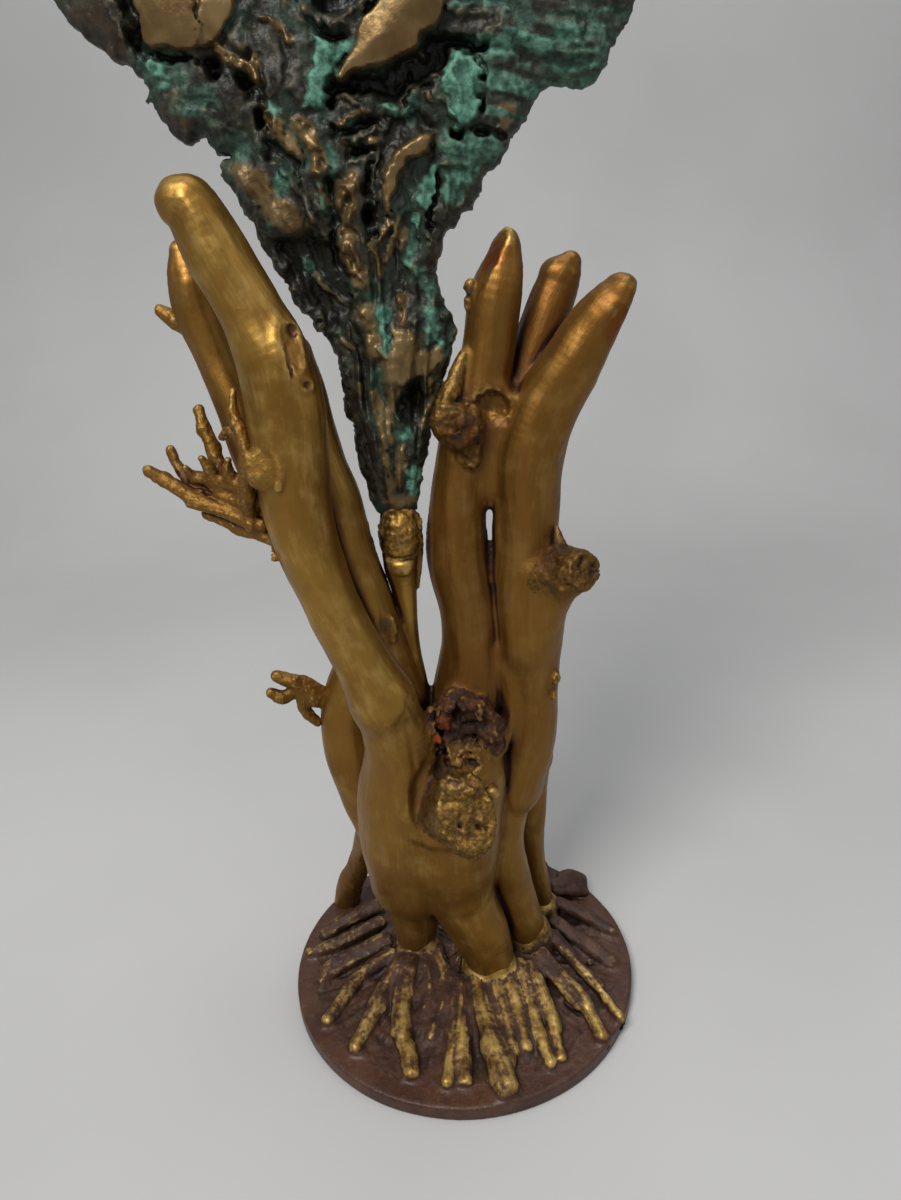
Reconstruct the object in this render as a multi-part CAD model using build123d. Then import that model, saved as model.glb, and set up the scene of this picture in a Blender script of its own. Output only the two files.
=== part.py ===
from build123d import *
import math
import os

# A root sculpture standing on a round wooden disc: painted roots and limbs rise
# from clay roots modelled on the disc and hold up a crust-like burl crown.
# Millimetres, +Z up, the origin at the centre of the disc's underside,
# -Y towards the front.

# ---------------------------------------------------------------- dimensions
DISC_R = 90.0            # wooden disc, radius
DISC_T = 8.0             # wooden disc, thickness
DISC_EDGE = 2.6          # rounding of the disc's top edge
DISC_FOOT = 0.8          # small rounding of the disc's lower edge
MOUND_R = 74.0           # clay bed, radius at the disc
MOUND_TOP_R = 50.0       # clay bed, radius at its top
MOUND_T = 5.0            # clay bed, thickness at the middle
COLLAR_Z0 = 11.0         # clay collars round the feet, lower end
COLLAR_Z1 = 26.0         # clay collars round the feet, upper end
COLLAR_WALL = 2.8        # clay collars, thickness round the foot
SCREW_R = 2.0            # wood screws, shank radius
SCREW_HEAD_R = 4.0       # wood screws, head radius
SCREW_LEN = 26.0         # wood screws, length with the head
SCREW_HEAD_T = 2.4       # wood screws, height of the countersunk head
DOWEL_R = 3.0            # hidden wooden dowels, radius
DOWEL_LEN = 24.0         # hidden wooden dowels, length
PIN_R = 2.0              # steel pin that carries the crown, radius
PIN_Z0 = 205.0           # steel pin, lower end
PIN_Z1 = 300.0           # steel pin, upper end
PIN_X = -20.0            # steel pin, place
PIN_Y = 6.0
PLATE_T = 4.0            # smooth bark plates on the crown, stand-off
CROWN_TOP = 550.0        # top of the crown above the surface it stands on
STEP_PER_R = 1.1         # spacing of a limb's sections, as a share of its mean radius

# Centreline points of each round limb: x, y, z, radius.
LIMBS = {
    "left_main_limb": [(-89, -22, 390.9, 8.4), (-84.8, -22, 386.6, 10.2), (-77.8, -22, 371.6, 12.2), (-69.7, -22, 354.2, 12.1), (-62.7, -22, 336, 13.8), (-59.6, -22, 317.3, 15.3), (-60.3, -22, 297.8, 15.3), (-59.6, -22, 275.3, 14), (-56.3, -22, 255.8, 12.7), (-50.2, -22, 233.1, 11.4), (-41.2, -22, 209, 11.6), (-31.5, -20, 182.5, 13.8)],
    "left_rear_limb": [(-98.8, 12, 370.7, 5.9), (-97.4, 12, 359.5, 8.8), (-96.4, 12, 348.1, 9.3), (-91.4, 10, 332.4, 8.2), (-85.1, 6, 312.6, 8.3), (-79.5, 2, 292.4, 8.4), (-72.9, -2, 271.6, 8.5), (-66.2, -6, 250.2, 7.3)],
    "inner_left_limb": [(-56.2, -2, 332, 5.5), (-55, -2, 317, 8.1), (-51.8, -2, 292.3, 10.3), (-46.9, -1, 270.1, 11.5), (-42.6, 0, 246.8, 10.9), (-36.1, 0, 222.6, 10.7), (-29.7, 2, 198.7, 10.1), (-23, 4, 173.5, 9.5), (-16.9, 8, 145.7, 10.8)],
    "left_low_lobe": [(-37.9, 26, 196.2, 6.8), (-45.9, 25, 179.6, 10.3), (-51.6, 24, 157.7, 13.5), (-51.7, 22, 135.5, 14.8), (-47.8, 20, 112.2, 15), (-39.6, 16, 92.6, 15.7), (-31.4, 14, 71, 15.9)],
    "central_stem": [(-20.3, 6, 242.1, 6.7), (-19.8, 6, 235.9, 8.1), (-19, 6, 219.2, 6.4), (-18.3, 6, 198.8, 6), (-17.1, 7, 177, 6.2), (-14.7, 10, 150, 7.8), (-12.1, 12, 122.1, 10.1)],
    "inner_right_limb": [(28.4, 6, 368.3, 4.3), (27.6, 6, 363.2, 6.6), (25.9, 6, 357, 9), (23.4, 6, 347.7, 10.7), (20.7, 6, 330.5, 10.9), (16.5, 6, 310.5, 11.2), (10.2, 6, 291.9, 11.4), (6.6, 6, 274.5, 11.6), (5.1, 6, 256.5, 13.1), (5.3, 6, 237.6, 14.7), (8.7, 6, 215.4, 13.7), (9.4, 7, 191.8, 14.5), (7.3, 8, 167.1, 17.3), (3.6, 10, 140.5, 18.8), (0.7, 10, 113.8, 19.3)],
    "middle_finger": [(55, 20.5, 359.8, 4.9), (50.7, 20.5, 352, 8.6), (44.6, 19.4, 338, 9.9), (38.5, 17, 322.5, 9.6), (33.5, 13.5, 308, 8.8), (30, 9.5, 294.4, 8.4)],
    "outer_right_limb": [(69.9, -2, 351.5, 4.6), (66.6, -2, 346.1, 7.8), (61.1, -1, 335.6, 11.1), (52.8, 0, 321, 12.5), (43.4, 2, 304.8, 13.6), (36.9, 3, 287.2, 15.2), (35.6, 3, 265.3, 13.8), (35.5, 3, 244.6, 13.2), (35.5, 4, 222.5, 15.8), (36.4, 5, 196.8, 15.8), (37, 6, 169.5, 13.8), (34.6, 8, 140.3, 14.8), (28.4, 8, 113.8, 15.1)],
    "left_leg": [(-28.5, 4, 71.3, 16.6), (-27.6, 2, 57.8, 14.7), (-25.4, 1, 40.3, 12.7), (-25.2, 1, 24.9, 10.8), (-25.2, 1, 13.5, 9.8), (-25.2, 1, 2, 10)],
    "centre_leg": [(-5.8, -7, 81.9, 18.1), (-2.8, -9, 70.7, 16.2), (2.3, -11, 54.7, 15.4), (9.4, -13, 38.1, 14.5), (13.2, -14, 23.1, 12.6), (14.1, -14, 13.9, 11.6), (14.6, -14, 2, 11.4)],
    "right_leg": [(24.2, 6, 112.4, 13.1), (22.2, 4, 86.1, 11.3), (26, 4, 56.5, 11.6), (31.7, 4, 35.8, 11.3), (35.9, 4, 21.5, 10.3), (37.6, 4, 2, 9.2)],
    "far_right_leg": [(40.2, 24, 123.6, 9.3), (38.8, 27, 90, 8.6), (38.4, 29, 55, 8.3), (43, 30, 27, 7.9), (45.3, 30, 14.5, 7.4), (46.8, 30, 2, 6.9)],
    "back_left_root": [(-40, 16, 96, 7), (-46.1, 22, 79.8, 7), (-51, 28, 63.2, 7), (-57.7, 36, 42.9, 6.6), (-64.3, 43, 24.1, 7.5), (-68.5, 48.5, 5, 7.1)],
    "left_rear_stub": [(-111.5, 14, 348.1, 2), (-107.2, 13, 345.3, 2.8), (-101.1, 12, 341.2, 3.2)],
    "lower_twig": [(-85.5, 20, 175.2, 2.9), (-79.5, 20, 172.2, 3.4), (-73, 21, 169.6, 3.9), (-67.8, 22, 164.3, 4.5), (-60.5, 23, 157.6, 5)],
    "twig_upper": [(-99, 2, 309.9, 2.1), (-97.7, 0, 304.6, 2.3), (-95.3, -2, 297.9, 2.5), (-93.4, -4, 291.2, 2.9), (-91.4, -6, 284.9, 2.9)],
    "twig_middle": [(-112, -2, 294.4, 1.9), (-110.4, -3, 289.5, 2.1), (-106.3, -5, 283.5, 2.5), (-102, -7, 278.7, 2.9), (-96.9, -9, 276.6, 2.9)],
    "twig_lower": [(-119.8, -10, 288.5, 2.4), (-115.8, -10, 285.4, 2.7), (-110, -11, 282, 2.9), (-103.4, -12, 277.8, 2.9), (-97, -13, 274.8, 2.9)],
    "twig_base": [(-100.1, -8, 284.1, 2.9), (-90.3, -12, 283.6, 3.3), (-80.7, -16, 282.3, 3.6), (-73.3, -19, 278.7, 3.6)],
    "twig_band_upper": [(-103.7, -14, 275.4, 2), (-95.9, -15, 274.1, 2.5), (-88.4, -17, 271.9, 2.9), (-81.1, -19, 268.8, 2.9), (-74.6, -20, 267.2, 2.8)],
    "twig_band_lower": [(-98.7, -11, 269.5, 1.7), (-90.8, -13, 266.8, 2.1), (-84.2, -15, 263.7, 2.5), (-77.3, -17, 262.3, 2.5), (-71.5, -19, 259.7, 2.1)],
    "vine_strand": [(-81.6, -12, 316.9, 1.6), (-82, -13, 310.1, 1.8), (-79.7, -14, 304.6, 1.8), (-78.9, -15, 297.6, 1.8), (-79.8, -16, 288.9, 1.8), (-80.3, -18, 279.1, 2)],
    "knot_stub_right": [(39.8, -2, 241.1, 11.4), (45.2, -8, 240.4, 10.4), (50.6, -13, 238.5, 8.1), (54.3, -17, 237.2, 7.2)],
    "front_stub": [(-8.2, -18, 122.3, 13.3), (-2.6, -28, 126.1, 13.4), (2.4, -38, 130.2, 13.5), (4.9, -44, 133, 12.9)],
    "resin_link": [(8.1, 0, 335.3, 2.4), (4.1, -4, 326, 2.4), (1.3, -7, 314.9, 2.4), (-1.2, -8, 304.8, 3.2), (4.3, -9, 300.7, 3.2)],
}
TWIG_FORK_UPPER = [(-88.9, 17.0, 167.6, 2.4), (-84.5, 18.0, 164.5, 3.0), (-79.3, 20.0, 165.4, 2.5), (-75.9, 20.0, 169.2, 2.5)]
TWIG_FORK_LOWER = [(-68.1, 20.0, 148.2, 2.0), (-72.1, 20.0, 153.0, 2.5), (-74.4, 20.0, 159.5, 2.5), (-73.2, 20.0, 166.8, 2.5)]

# The body where the left limbs run together, above the two front feet.
BODY_LEFT = [(-31.5, -20.0, 182.5, 13.8), (-25.4, -14.0, 154.7, 16.7), (-26.4, -8.0, 125.1, 21.3), (-25.4, -4.0, 94.9, 24.0), (-25.0, 0.0, 66.0, 21.8)]
BODY_FRONT = [(7.4, -2.0, 150.9, 16.2), (2.8, -6.0, 131.0, 21.2), (-2.8, -8.0, 109.1, 24.5), (-3.6, -8.0, 87.7, 23.0), (-1.4, -8.0, 65.2, 18.4)]

# Clay roots lying on the disc: x, y, z, radius.
RIDGES = {
    "root_back_a": [(40, 44, 16.5, 3.8), (46, 58, 13.5, 3.8), (49, 70, 10.5, 3.2)],
    "root_back_b": [(22, 42, 16, 3.8), (24, 60, 13.5, 4), (21, 77, 10.5, 3.4)],
    "root_back_c": [(4, 40, 16, 3.6), (1, 58, 13.5, 3.8), (3, 78, 10.5, 3.2)],
    "root_back_d": [(-14, 38, 16, 3.8), (-19, 56, 13.5, 3.8), (-27, 73, 10.5, 3.2)],
    "root_back_e": [(-30, 34, 16, 3.6), (-38, 50, 13.5, 3.6), (-47, 66, 10.5, 3)],
    "root_back_lump": [(60.5, 50.5, 15.5, 4.5), (66.8, 52.6, 14, 5.6), (71.5, 54, 11.5, 4.2)],
    "root_back_right": [(53.7, 43.1, 17, 4.1), (62.8, 45.7, 15, 4.7), (70.3, 48, 12.5, 4.7)],
    "root_front_a": [(-27.9, -12.6, 19, 4.7), (-30.8, -28.9, 15.5, 4.1), (-31.3, -49.8, 13, 3.9), (-26.5, -71.4, 10.5, 3.8)],
    "root_front_b": [(-21.1, -9.2, 18, 3.2), (-18.5, -21.8, 15.5, 2.9), (-19.1, -33.5, 13, 2.8), (-23.1, -45.7, 10.5, 2.5)],
    "root_front_c": [(-14.2, -2.6, 18, 3.2), (-10.7, -20.9, 15.5, 3.1), (-11, -37.6, 13, 3), (-17.1, -51.9, 10.5, 2.7)],
    "root_front_d": [(-4, -21.7, 16, 3.1), (-4.4, -38.4, 13.5, 3.5), (-7.3, -55.9, 12, 2.9), (-9.6, -76.4, 10.5, 2.8)],
    "root_front_e": [(-3.4, -38.5, 13.5, 3), (-1.6, -58.4, 12, 2.9), (-1.3, -76.8, 10.5, 2.8)],
    "root_front_f": [(5.9, -22.1, 18, 4.1), (7.2, -39, 15.5, 4.5), (10.2, -55.6, 14, 4.9), (14.1, -69.5, 12.5, 6.1), (17.1, -80.7, 10.5, 6)],
    "root_front_g": [(15.1, -23.6, 17, 3.6), (18.3, -37.4, 14.5, 3.5), (20.2, -51.9, 12.5, 3.4), (22.2, -62.8, 10.5, 2.9)],
    "root_front_h": [(22.1, -20.1, 17, 3.6), (25.3, -37.8, 14.5, 3.5), (27.5, -52.3, 12.5, 2.9), (28.8, -59.8, 10.5, 2.4)],
    "root_left_a": [(-48.1, 34.3, 17, 3.5), (-66.6, 26.7, 14, 3.4), (-78.1, 19.7, 11, 2.8)],
    "root_left_b": [(-46.1, 19.3, 17, 3.4), (-67.9, 9.1, 13.5, 3.3), (-83.7, 5.7, 10.5, 2.7)],
    "root_left_c": [(-42.2, 7.1, 17, 3.8), (-60.4, -1.1, 14, 3.8), (-71.8, -6.9, 12, 3.7), (-75.4, -14.1, 10.5, 3.2)],
    "root_left_d": [(-38.3, -4.8, 18, 3.7), (-52.9, -13.7, 14.5, 3.2), (-62, -25.8, 12.5, 3.1), (-70.1, -39.2, 10.5, 3)],
    "root_left_e": [(-32.2, -10, 18, 4.2), (-39.9, -21.5, 15, 4.2), (-45.5, -34.7, 13, 4.1), (-54.1, -55.8, 10.5, 3.4)],
    "root_right_a": [(28.8, -14.7, 18, 3.1), (32.8, -38.1, 14.5, 2.8), (36, -55, 12.5, 2.4), (39.2, -69.1, 10.5, 2.4)],
    "root_right_b": [(35, -16.1, 17, 3.1), (40.3, -38.5, 14.5, 2.8), (42.7, -51.9, 12.5, 2.4), (44.8, -66.1, 10.5, 2.4)],
    "root_right_c": [(42, -9.5, 19, 4.2), (50.3, -23.7, 16.5, 4.1), (59.2, -37.2, 14, 4), (65.8, -54.8, 10.5, 3.9)],
    "root_right_d": [(48.3, 3.3, 18, 3.3), (58.5, -13.3, 15, 2.9), (67.8, -27.9, 13, 2.6), (76.5, -44.7, 10.5, 2)],
    "root_right_e": [(51.6, 16.8, 17, 3.3), (64, 5.7, 14, 3.3), (79, -8.7, 10.5, 2.7)],
    "root_right_f": [(53.7, 29.2, 17, 3.4), (68.1, 22.1, 14, 3.4), (82.4, 12.7, 10.5, 2.8)],
}

# Clay roots that were rolled and laid side by side share a node.
RIDGE_GROUPS = {
    "clay_roots_left_rear": ["root_left_a", "root_left_b"],
    "clay_roots_left": ["root_left_c", "root_left_d"],
    "clay_root_left_front": ["root_left_e"],
    "clay_root_front_left": ["root_front_a"],
    "clay_roots_front_pair": ["root_front_b", "root_front_c"],
    "clay_root_front_fork": ["root_front_d", "root_front_e"],
    "clay_root_front_big": ["root_front_f"],
    "clay_roots_front_right": ["root_front_g", "root_front_h"],
    "clay_roots_right_front": ["root_right_a", "root_right_b"],
    "clay_root_right_big": ["root_right_c"],
    "clay_roots_right": ["root_right_d", "root_right_e", "root_right_f"],
    "clay_roots_right_rear": ["root_back_right", "root_back_lump"],
    "clay_roots_back_right": ["root_back_a", "root_back_b"],
    "clay_roots_back_left": ["root_back_c", "root_back_d", "root_back_e"],
}

# Crown: z, centre x, centre y, half width, half thickness.
CROWN = [
    (262.0, -20.6, 5.0, 8.4, 6.6),
    (276.0, -21.4, 5.2, 12.6, 8.6),
    (292.0, -20.6, 5.5, 16.6, 10.5),
    (312.0, -19.8, 6.0, 20.5, 12.0),
    (335.0, -19.6, 7.0, 26.4, 13.5),
    (360.0, -28.5, 8.0, 32.0, 14.5),
    (382.0, -29.8, 8.0, 45.0, 15.5),
    (402.0, -27.0, 8.0, 57.0, 16.0),
    (422.0, -21.5, 8.0, 80.0, 16.5),
    (446.0, -25.0, 8.0, 100.0, 17.5),
    (472.0, -27.0, 8.0, 108.0, 18.0),
    (498.0, -26.0, 8.0, 103.0, 17.0),
    (522.0, -24.0, 8.0, 84.0, 15.0),
    (540.0, -22.0, 8.0, 54.0, 11.5),
    (CROWN_TOP, -21.0, 8.0, 20.0, 6.0),
]
PLATE_LEFT = [(-102, 452), (-98.5, 444), (-98.5, 438.5), (-84.5, 435.5), (-77.7, 434.8),
              (-71.5, 439.5), (-66.5, 445), (-64.0, 456), (-70, 468), (-84, 474), (-97, 466)]
PLATE_RIGHT = [(-32.4, 422.5), (-28.0, 431), (-26.5, 438), (-18.5, 445.5), (-12, 455), (-4, 462),
               (7, 458), (8.5, 448), (5.5, 440.5), (0, 436.5), (-4, 433), (-12.5, 430), (-21.5, 428.0)]

os.makedirs("parts", exist_ok=True)


# ---------------------------------------------------------------- helpers
def frames(points):
    """One plane for each point, square to the centreline and not twisted along it."""
    pts = [Vector(p[0], p[1], p[2]) for p in points]
    planes = []
    side = None
    for i, p in enumerate(pts):
        a = pts[max(i - 1, 0)]
        b = pts[min(i + 1, len(pts) - 1)]
        t = (b - a).normalized()
        if side is None:
            ref = Vector(1, 0, 0) if abs(t.X) < 0.9 else Vector(0, 1, 0)
            side = (ref - t * ref.dot(t)).normalized()
        else:
            side = (side - t * side.dot(t)).normalized()
        planes.append(Plane(origin=p, x_dir=side, z_dir=t))
    return planes


def even(points, step):
    """The same centreline with evenly spaced points: a smooth curve through the given ones."""
    pts = [Vector(*p[:3]) for p in points]
    rad = [p[3] for p in points]
    n = len(pts)
    dense = []
    for i in range(n - 1):
        p0 = pts[i - 1] if i > 0 else pts[0] * 2 - pts[1]
        p3 = pts[i + 2] if i + 2 < n else pts[-1] * 2 - pts[-2]
        p1, p2 = pts[i], pts[i + 1]
        for k in range(8):
            t = k / 8
            a = p1 * (2.0) + (p2 - p0) * t + (p0 * 2 - p1 * 5 + p2 * 4 - p3) * (t * t) + (p1 * 3 - p0 - p2 * 3 + p3) * (t ** 3)
            dense.append((a * 0.5, rad[i] + (rad[i + 1] - rad[i]) * (t * t * (3 - 2 * t))))
    dense.append((pts[-1], rad[-1]))
    length = [0.0]
    for (a, _), (b, _) in zip(dense, dense[1:]):
        length.append(length[-1] + (b - a).length)
    count = max(3, round(length[-1] / step) + 1)
    out, j = [], 0
    for k in range(count):
        s = length[-1] * k / (count - 1)
        while j < len(length) - 2 and length[j + 1] < s:
            j += 1
        f = (s - length[j]) / max(length[j + 1] - length[j], 1e-9)
        p = dense[j][0] * (1 - f) + dense[j + 1][0] * f
        out.append((p.X, p.Y, p.Z, dense[j][1] * (1 - f) + dense[j + 1][1] * f))
    return out


def limb(points, round_start=True, round_end=False, nose=0.75):
    """A tapered round limb through the points, with rounded ends where asked."""
    points = even(points, max(3.0, STEP_PER_R * sum(p[3] for p in points) / len(points)))
    sections = [(pl, p[3]) for pl, p in zip(frames(points), points)]
    if round_start:
        pl, r = sections[0]
        t = pl.z_dir
        sections = [
            (Plane(origin=pl.origin - t * (r * nose), x_dir=pl.x_dir, z_dir=t), r * 0.3),
            (Plane(origin=pl.origin - t * (r * nose * 0.6), x_dir=pl.x_dir, z_dir=t), r * 0.76),
        ] + sections
    if round_end:
        pl, r = sections[-1]
        t = pl.z_dir
        sections = sections + [
            (Plane(origin=pl.origin + t * (r * nose * 0.6), x_dir=pl.x_dir, z_dir=t), r * 0.76),
            (Plane(origin=pl.origin + t * (r * nose), x_dir=pl.x_dir, z_dir=t), r * 0.3),
        ]
    return loft([(pl * Circle(r)).faces()[0] for pl, r in sections]).solids()[0]


def biggest(shape):
    solids = sorted(shape.solids(), key=lambda s: s.volume)
    return solids[-1]


def touching(a, b):
    x, y = a.bounding_box(), b.bounding_box()
    return not (
        x.min.X > y.max.X or x.max.X < y.min.X
        or x.min.Y > y.max.Y or x.max.Y < y.min.Y
        or x.min.Z > y.max.Z or x.max.Z < y.min.Z
    )


def less(a, *others):
    """a with every other solid taken out of it; the biggest piece is kept."""
    for b in others:
        if touching(a, b):
            a = biggest(a - b)
    return a


def rod(p, q, r):
    """A straight round rod from p to q."""
    p, q = Vector(*p), Vector(*q)
    d = q - p
    ref = Vector(1, 0, 0) if abs(d.normalized().X) < 0.9 else Vector(0, 1, 0)
    return Solid.extrude((Plane(origin=p, x_dir=(ref - d.normalized() * ref.dot(d.normalized())).normalized(), z_dir=d.normalized()) * Circle(r)).faces()[0], d)


def ball(x, y, z, rx, ry, rz):
    """A stone-like lump: a closed loft of ellipses along z."""
    faces = []
    for k in (-0.96, -0.75, -0.3, 0.25, 0.7, 0.95):
        s = math.sqrt(1 - k * k)
        faces.append((Pos(x, y, z + k * rz) * Ellipse(rx * s, ry * s)).faces()[0])
    return loft(faces).solids()[0]


piece = {}

# ---------------------------------------------------------------- base disc
disc = Solid.make_cylinder(DISC_R, DISC_T)
disc = fillet(disc.edges().filter_by(GeomType.CIRCLE).sort_by(Axis.Z)[-1:], DISC_EDGE).solids()[0]
disc = fillet(disc.edges().filter_by(GeomType.CIRCLE).sort_by(Axis.Z)[:1], DISC_FOOT).solids()[0]
below = Pos(0, 0, DISC_T - 60) * Solid.make_cylinder(160, 60)

# ---------------------------------------------------------------- limbs
body_left = limb(BODY_LEFT, round_start=False, round_end=True, nose=0.5)
body_front = limb(BODY_FRONT, round_start=True, round_end=True, nose=0.5)
piece["trunk_body"] = biggest(body_left + body_front)
piece["left_main_limb"] = limb(LIMBS["left_main_limb"])
piece["left_main_limb"] = less(piece["left_main_limb"], piece["trunk_body"])

piece["outer_right_limb"] = less(limb(LIMBS["outer_right_limb"], round_end=False), piece["trunk_body"])
piece["inner_right_limb"] = less(limb(LIMBS["inner_right_limb"]), piece["trunk_body"], piece["outer_right_limb"])
piece["middle_finger"] = less(limb(LIMBS["middle_finger"]), piece["outer_right_limb"], piece["inner_right_limb"])
piece["inner_left_limb"] = less(limb(LIMBS["inner_left_limb"]), piece["trunk_body"], piece["left_main_limb"], piece["inner_right_limb"])
piece["left_rear_limb"] = less(limb(LIMBS["left_rear_limb"] + [(-60.0, -13.0, 238.0, 6.0)]), piece["left_main_limb"], piece["inner_left_limb"])
piece["left_low_lobe"] = less(limb(LIMBS["left_low_lobe"], round_end=False), piece["trunk_body"], piece["left_main_limb"], piece["inner_left_limb"])
piece["central_stem"] = less(limb(LIMBS["central_stem"], round_start=False), piece["trunk_body"], piece["inner_left_limb"], piece["inner_right_limb"], piece["left_low_lobe"])

# ---------------------------------------------------------------- legs
for name in ("left_leg", "centre_leg", "right_leg", "far_right_leg", "back_left_root"):
    round_top = name in ("left_leg", "centre_leg", "back_left_root", "far_right_leg")
    piece[name] = limb(LIMBS[name], round_start=round_top, nose=0.5)
    piece[name] = less(piece[name], below, piece["trunk_body"])
piece["centre_leg"] = less(piece["centre_leg"], piece["left_leg"])
piece["right_leg"] = less(piece["right_leg"], piece["outer_right_limb"], piece["inner_right_limb"], piece["centre_leg"])
piece["far_right_leg"] = less(piece["far_right_leg"], piece["outer_right_limb"], piece["right_leg"], piece["inner_right_limb"])
piece["left_low_lobe"] = less(piece["left_low_lobe"], piece["left_leg"])
piece["back_left_root"] = less(piece["back_left_root"], piece["left_low_lobe"], piece["left_leg"])

# ---------------------------------------------------------------- crown
crown = loft([(Pos(cx, cy, z) * Ellipse(a, b)).faces()[0] for z, cx, cy, a, b in CROWN]).solids()[0]
crown = less(crown, piece["left_main_limb"], piece["inner_right_limb"], piece["inner_left_limb"], piece["left_rear_limb"])


def plate(outline, y0, y1):
    """A smooth bark plate with a curved outline, standing in front of the crown."""
    face = Face(Wire([Edge.make_spline([Vector(x, y0, z) for x, z in outline], periodic=True)]))
    return Solid.extrude(face, Vector(0, y1 - y0, 0))


plate_left = plate(PLATE_LEFT, -10.0 - PLATE_T + 2.0, 6.0)
plate_right = plate(PLATE_RIGHT, -10.0 - PLATE_T, 4.0)
piece["crown_plate_left"] = less(plate_left, crown)
piece["crown_plate_right"] = less(plate_right, crown)

# ---------------------------------------------------------------- crown socket and pin
z_low, z_high = 243.5, 262.0
collar = loft([
    (Pos(-20.2, 6.0, 242.1) * Circle(8.4)).faces()[0],
    (Pos(-20.5, 5.2, 250.0) * Circle(9.8)).faces()[0],
    (Pos(-20.6, 5.0, 257.0) * Circle(9.6)).faces()[0],
    (Pos(-20.6, 5.0, 266.0) * Circle(9.9)).faces()[0],
]).solids()[0]
stem_top = Pos(0, 0, 242.1) * Solid.make_cylinder(60, 40)
piece["stem_collar"] = less(collar, crown, piece["central_stem"])
pin = rod((PIN_X, PIN_Y, PIN_Z0), (PIN_X, PIN_Y, PIN_Z1), PIN_R)
piece["crown_pin"] = pin
piece["stem_collar"] = less(piece["stem_collar"], pin)
piece["central_stem"] = less(piece["central_stem"], pin)
crown = less(crown, pin)
piece["inner_left_limb"] = less(piece["inner_left_limb"], pin)
piece["inner_right_limb"] = less(piece["inner_right_limb"], pin)
piece["crown_slab"] = crown

# ---------------------------------------------------------------- knots, stubs and crusts
piece["knot_stub_right"] = less(limb(LIMBS["knot_stub_right"], round_start=False), piece["outer_right_limb"], piece["inner_right_limb"])
piece["front_stub"] = less(limb(LIMBS["front_stub"], round_start=False), piece["trunk_body"])
piece["burl_crust"] = less(ball(4.0, -14.0, 158.0, 17.0, 12.0, 21.0), piece["trunk_body"], piece["left_main_limb"], piece["outer_right_limb"],
                           piece["inner_right_limb"], piece["inner_left_limb"], piece["central_stem"], piece["front_stub"])
piece["broken_knot"] = less(ball(11.0, -6.0, 299.0, 10.5, 9.0, 12.0), piece["inner_right_limb"], piece["outer_right_limb"], piece["middle_finger"], piece["crown_slab"])
piece["resin_link"] = less(limb(LIMBS["resin_link"], round_end=True), piece["inner_right_limb"], piece["crown_slab"], piece["broken_knot"], piece["outer_right_limb"])
piece["bark_knob"] = less(ball(-70.0, -33.0, 291.0, 9.0, 8.0, 10.0), piece["left_main_limb"])
piece["left_rear_stub"] = less(limb(LIMBS["left_rear_stub"]), piece["left_rear_limb"])

# ---------------------------------------------------------------- twigs
piece["twig_base"] = less(limb(LIMBS["twig_base"]), piece["left_main_limb"], piece["left_rear_limb"], piece["bark_knob"])
for name in ("twig_band_upper", "twig_band_lower", "twig_lower", "twig_middle", "twig_upper"):
    piece[name] = less(limb(LIMBS[name]), piece["left_main_limb"], piece["left_rear_limb"], piece["bark_knob"], piece["twig_base"])
piece["twig_band_lower"] = less(piece["twig_band_lower"], piece["twig_band_upper"])
piece["twig_lower"] = less(piece["twig_lower"], piece["twig_band_upper"], piece["twig_band_lower"])
piece["twig_middle"] = less(piece["twig_middle"], piece["twig_lower"], piece["twig_band_upper"])
piece["twig_upper"] = less(piece["twig_upper"], piece["twig_middle"], piece["twig_lower"])
piece["vine_strand"] = less(limb(LIMBS["vine_strand"]), piece["left_main_limb"], piece["left_rear_limb"], piece["bark_knob"],
                            piece["twig_base"], piece["twig_band_upper"], piece["twig_upper"])
piece["lower_twig"] = less(limb(LIMBS["lower_twig"]), piece["left_low_lobe"], piece["left_main_limb"])
piece["lower_twig_fork"] = less(limb(TWIG_FORK_UPPER), piece["lower_twig"])
piece["lower_twig_spur"] = less(limb(TWIG_FORK_LOWER), piece["lower_twig"], piece["lower_twig_fork"], piece["left_low_lobe"])

# ---------------------------------------------------------------- clay on the disc
feet = ["left_leg", "centre_leg", "right_leg", "far_right_leg", "back_left_root"]
mound = Pos(0, 0, DISC_T) * Solid.make_cone(MOUND_R, MOUND_TOP_R, MOUND_T)
mound_tool = mound
piece["clay_bed"] = less(mound, *[piece[f] for f in feet])
collars = {
    "collar_left": (-25.3, 1.0, 10.6, "left_leg"),
    "collar_centre": (13.6, -14.0, 12.4, "centre_leg"),
    "collar_right": (36.8, 4.0, 10.2, "right_leg"),
    "collar_far_right": (45.6, 30.0, 7.7, "far_right_leg"),
}
made = []
for name, (x, y, r, leg) in collars.items():
    top = COLLAR_Z1 if name != "collar_far_right" else 20.0
    ring = Pos(x, y, COLLAR_Z0) * Solid.make_cone(r + COLLAR_WALL * 1.7, r + COLLAR_WALL * 0.75, top - COLLAR_Z0)
    piece[name] = less(ring, *[piece[f] for f in feet], mound_tool, *made)
    made.append(piece[name])

laid = []
groups = {}
for group, names in RIDGE_GROUPS.items():
    groups[group] = []
    for name in names:
        root = limb(RIDGES[name], round_start=True, round_end=True)
        root = less(root, below, mound_tool, *[piece[f] for f in feet], *made, *laid)
        laid.append(root)
        groups[group].append(root)

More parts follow.
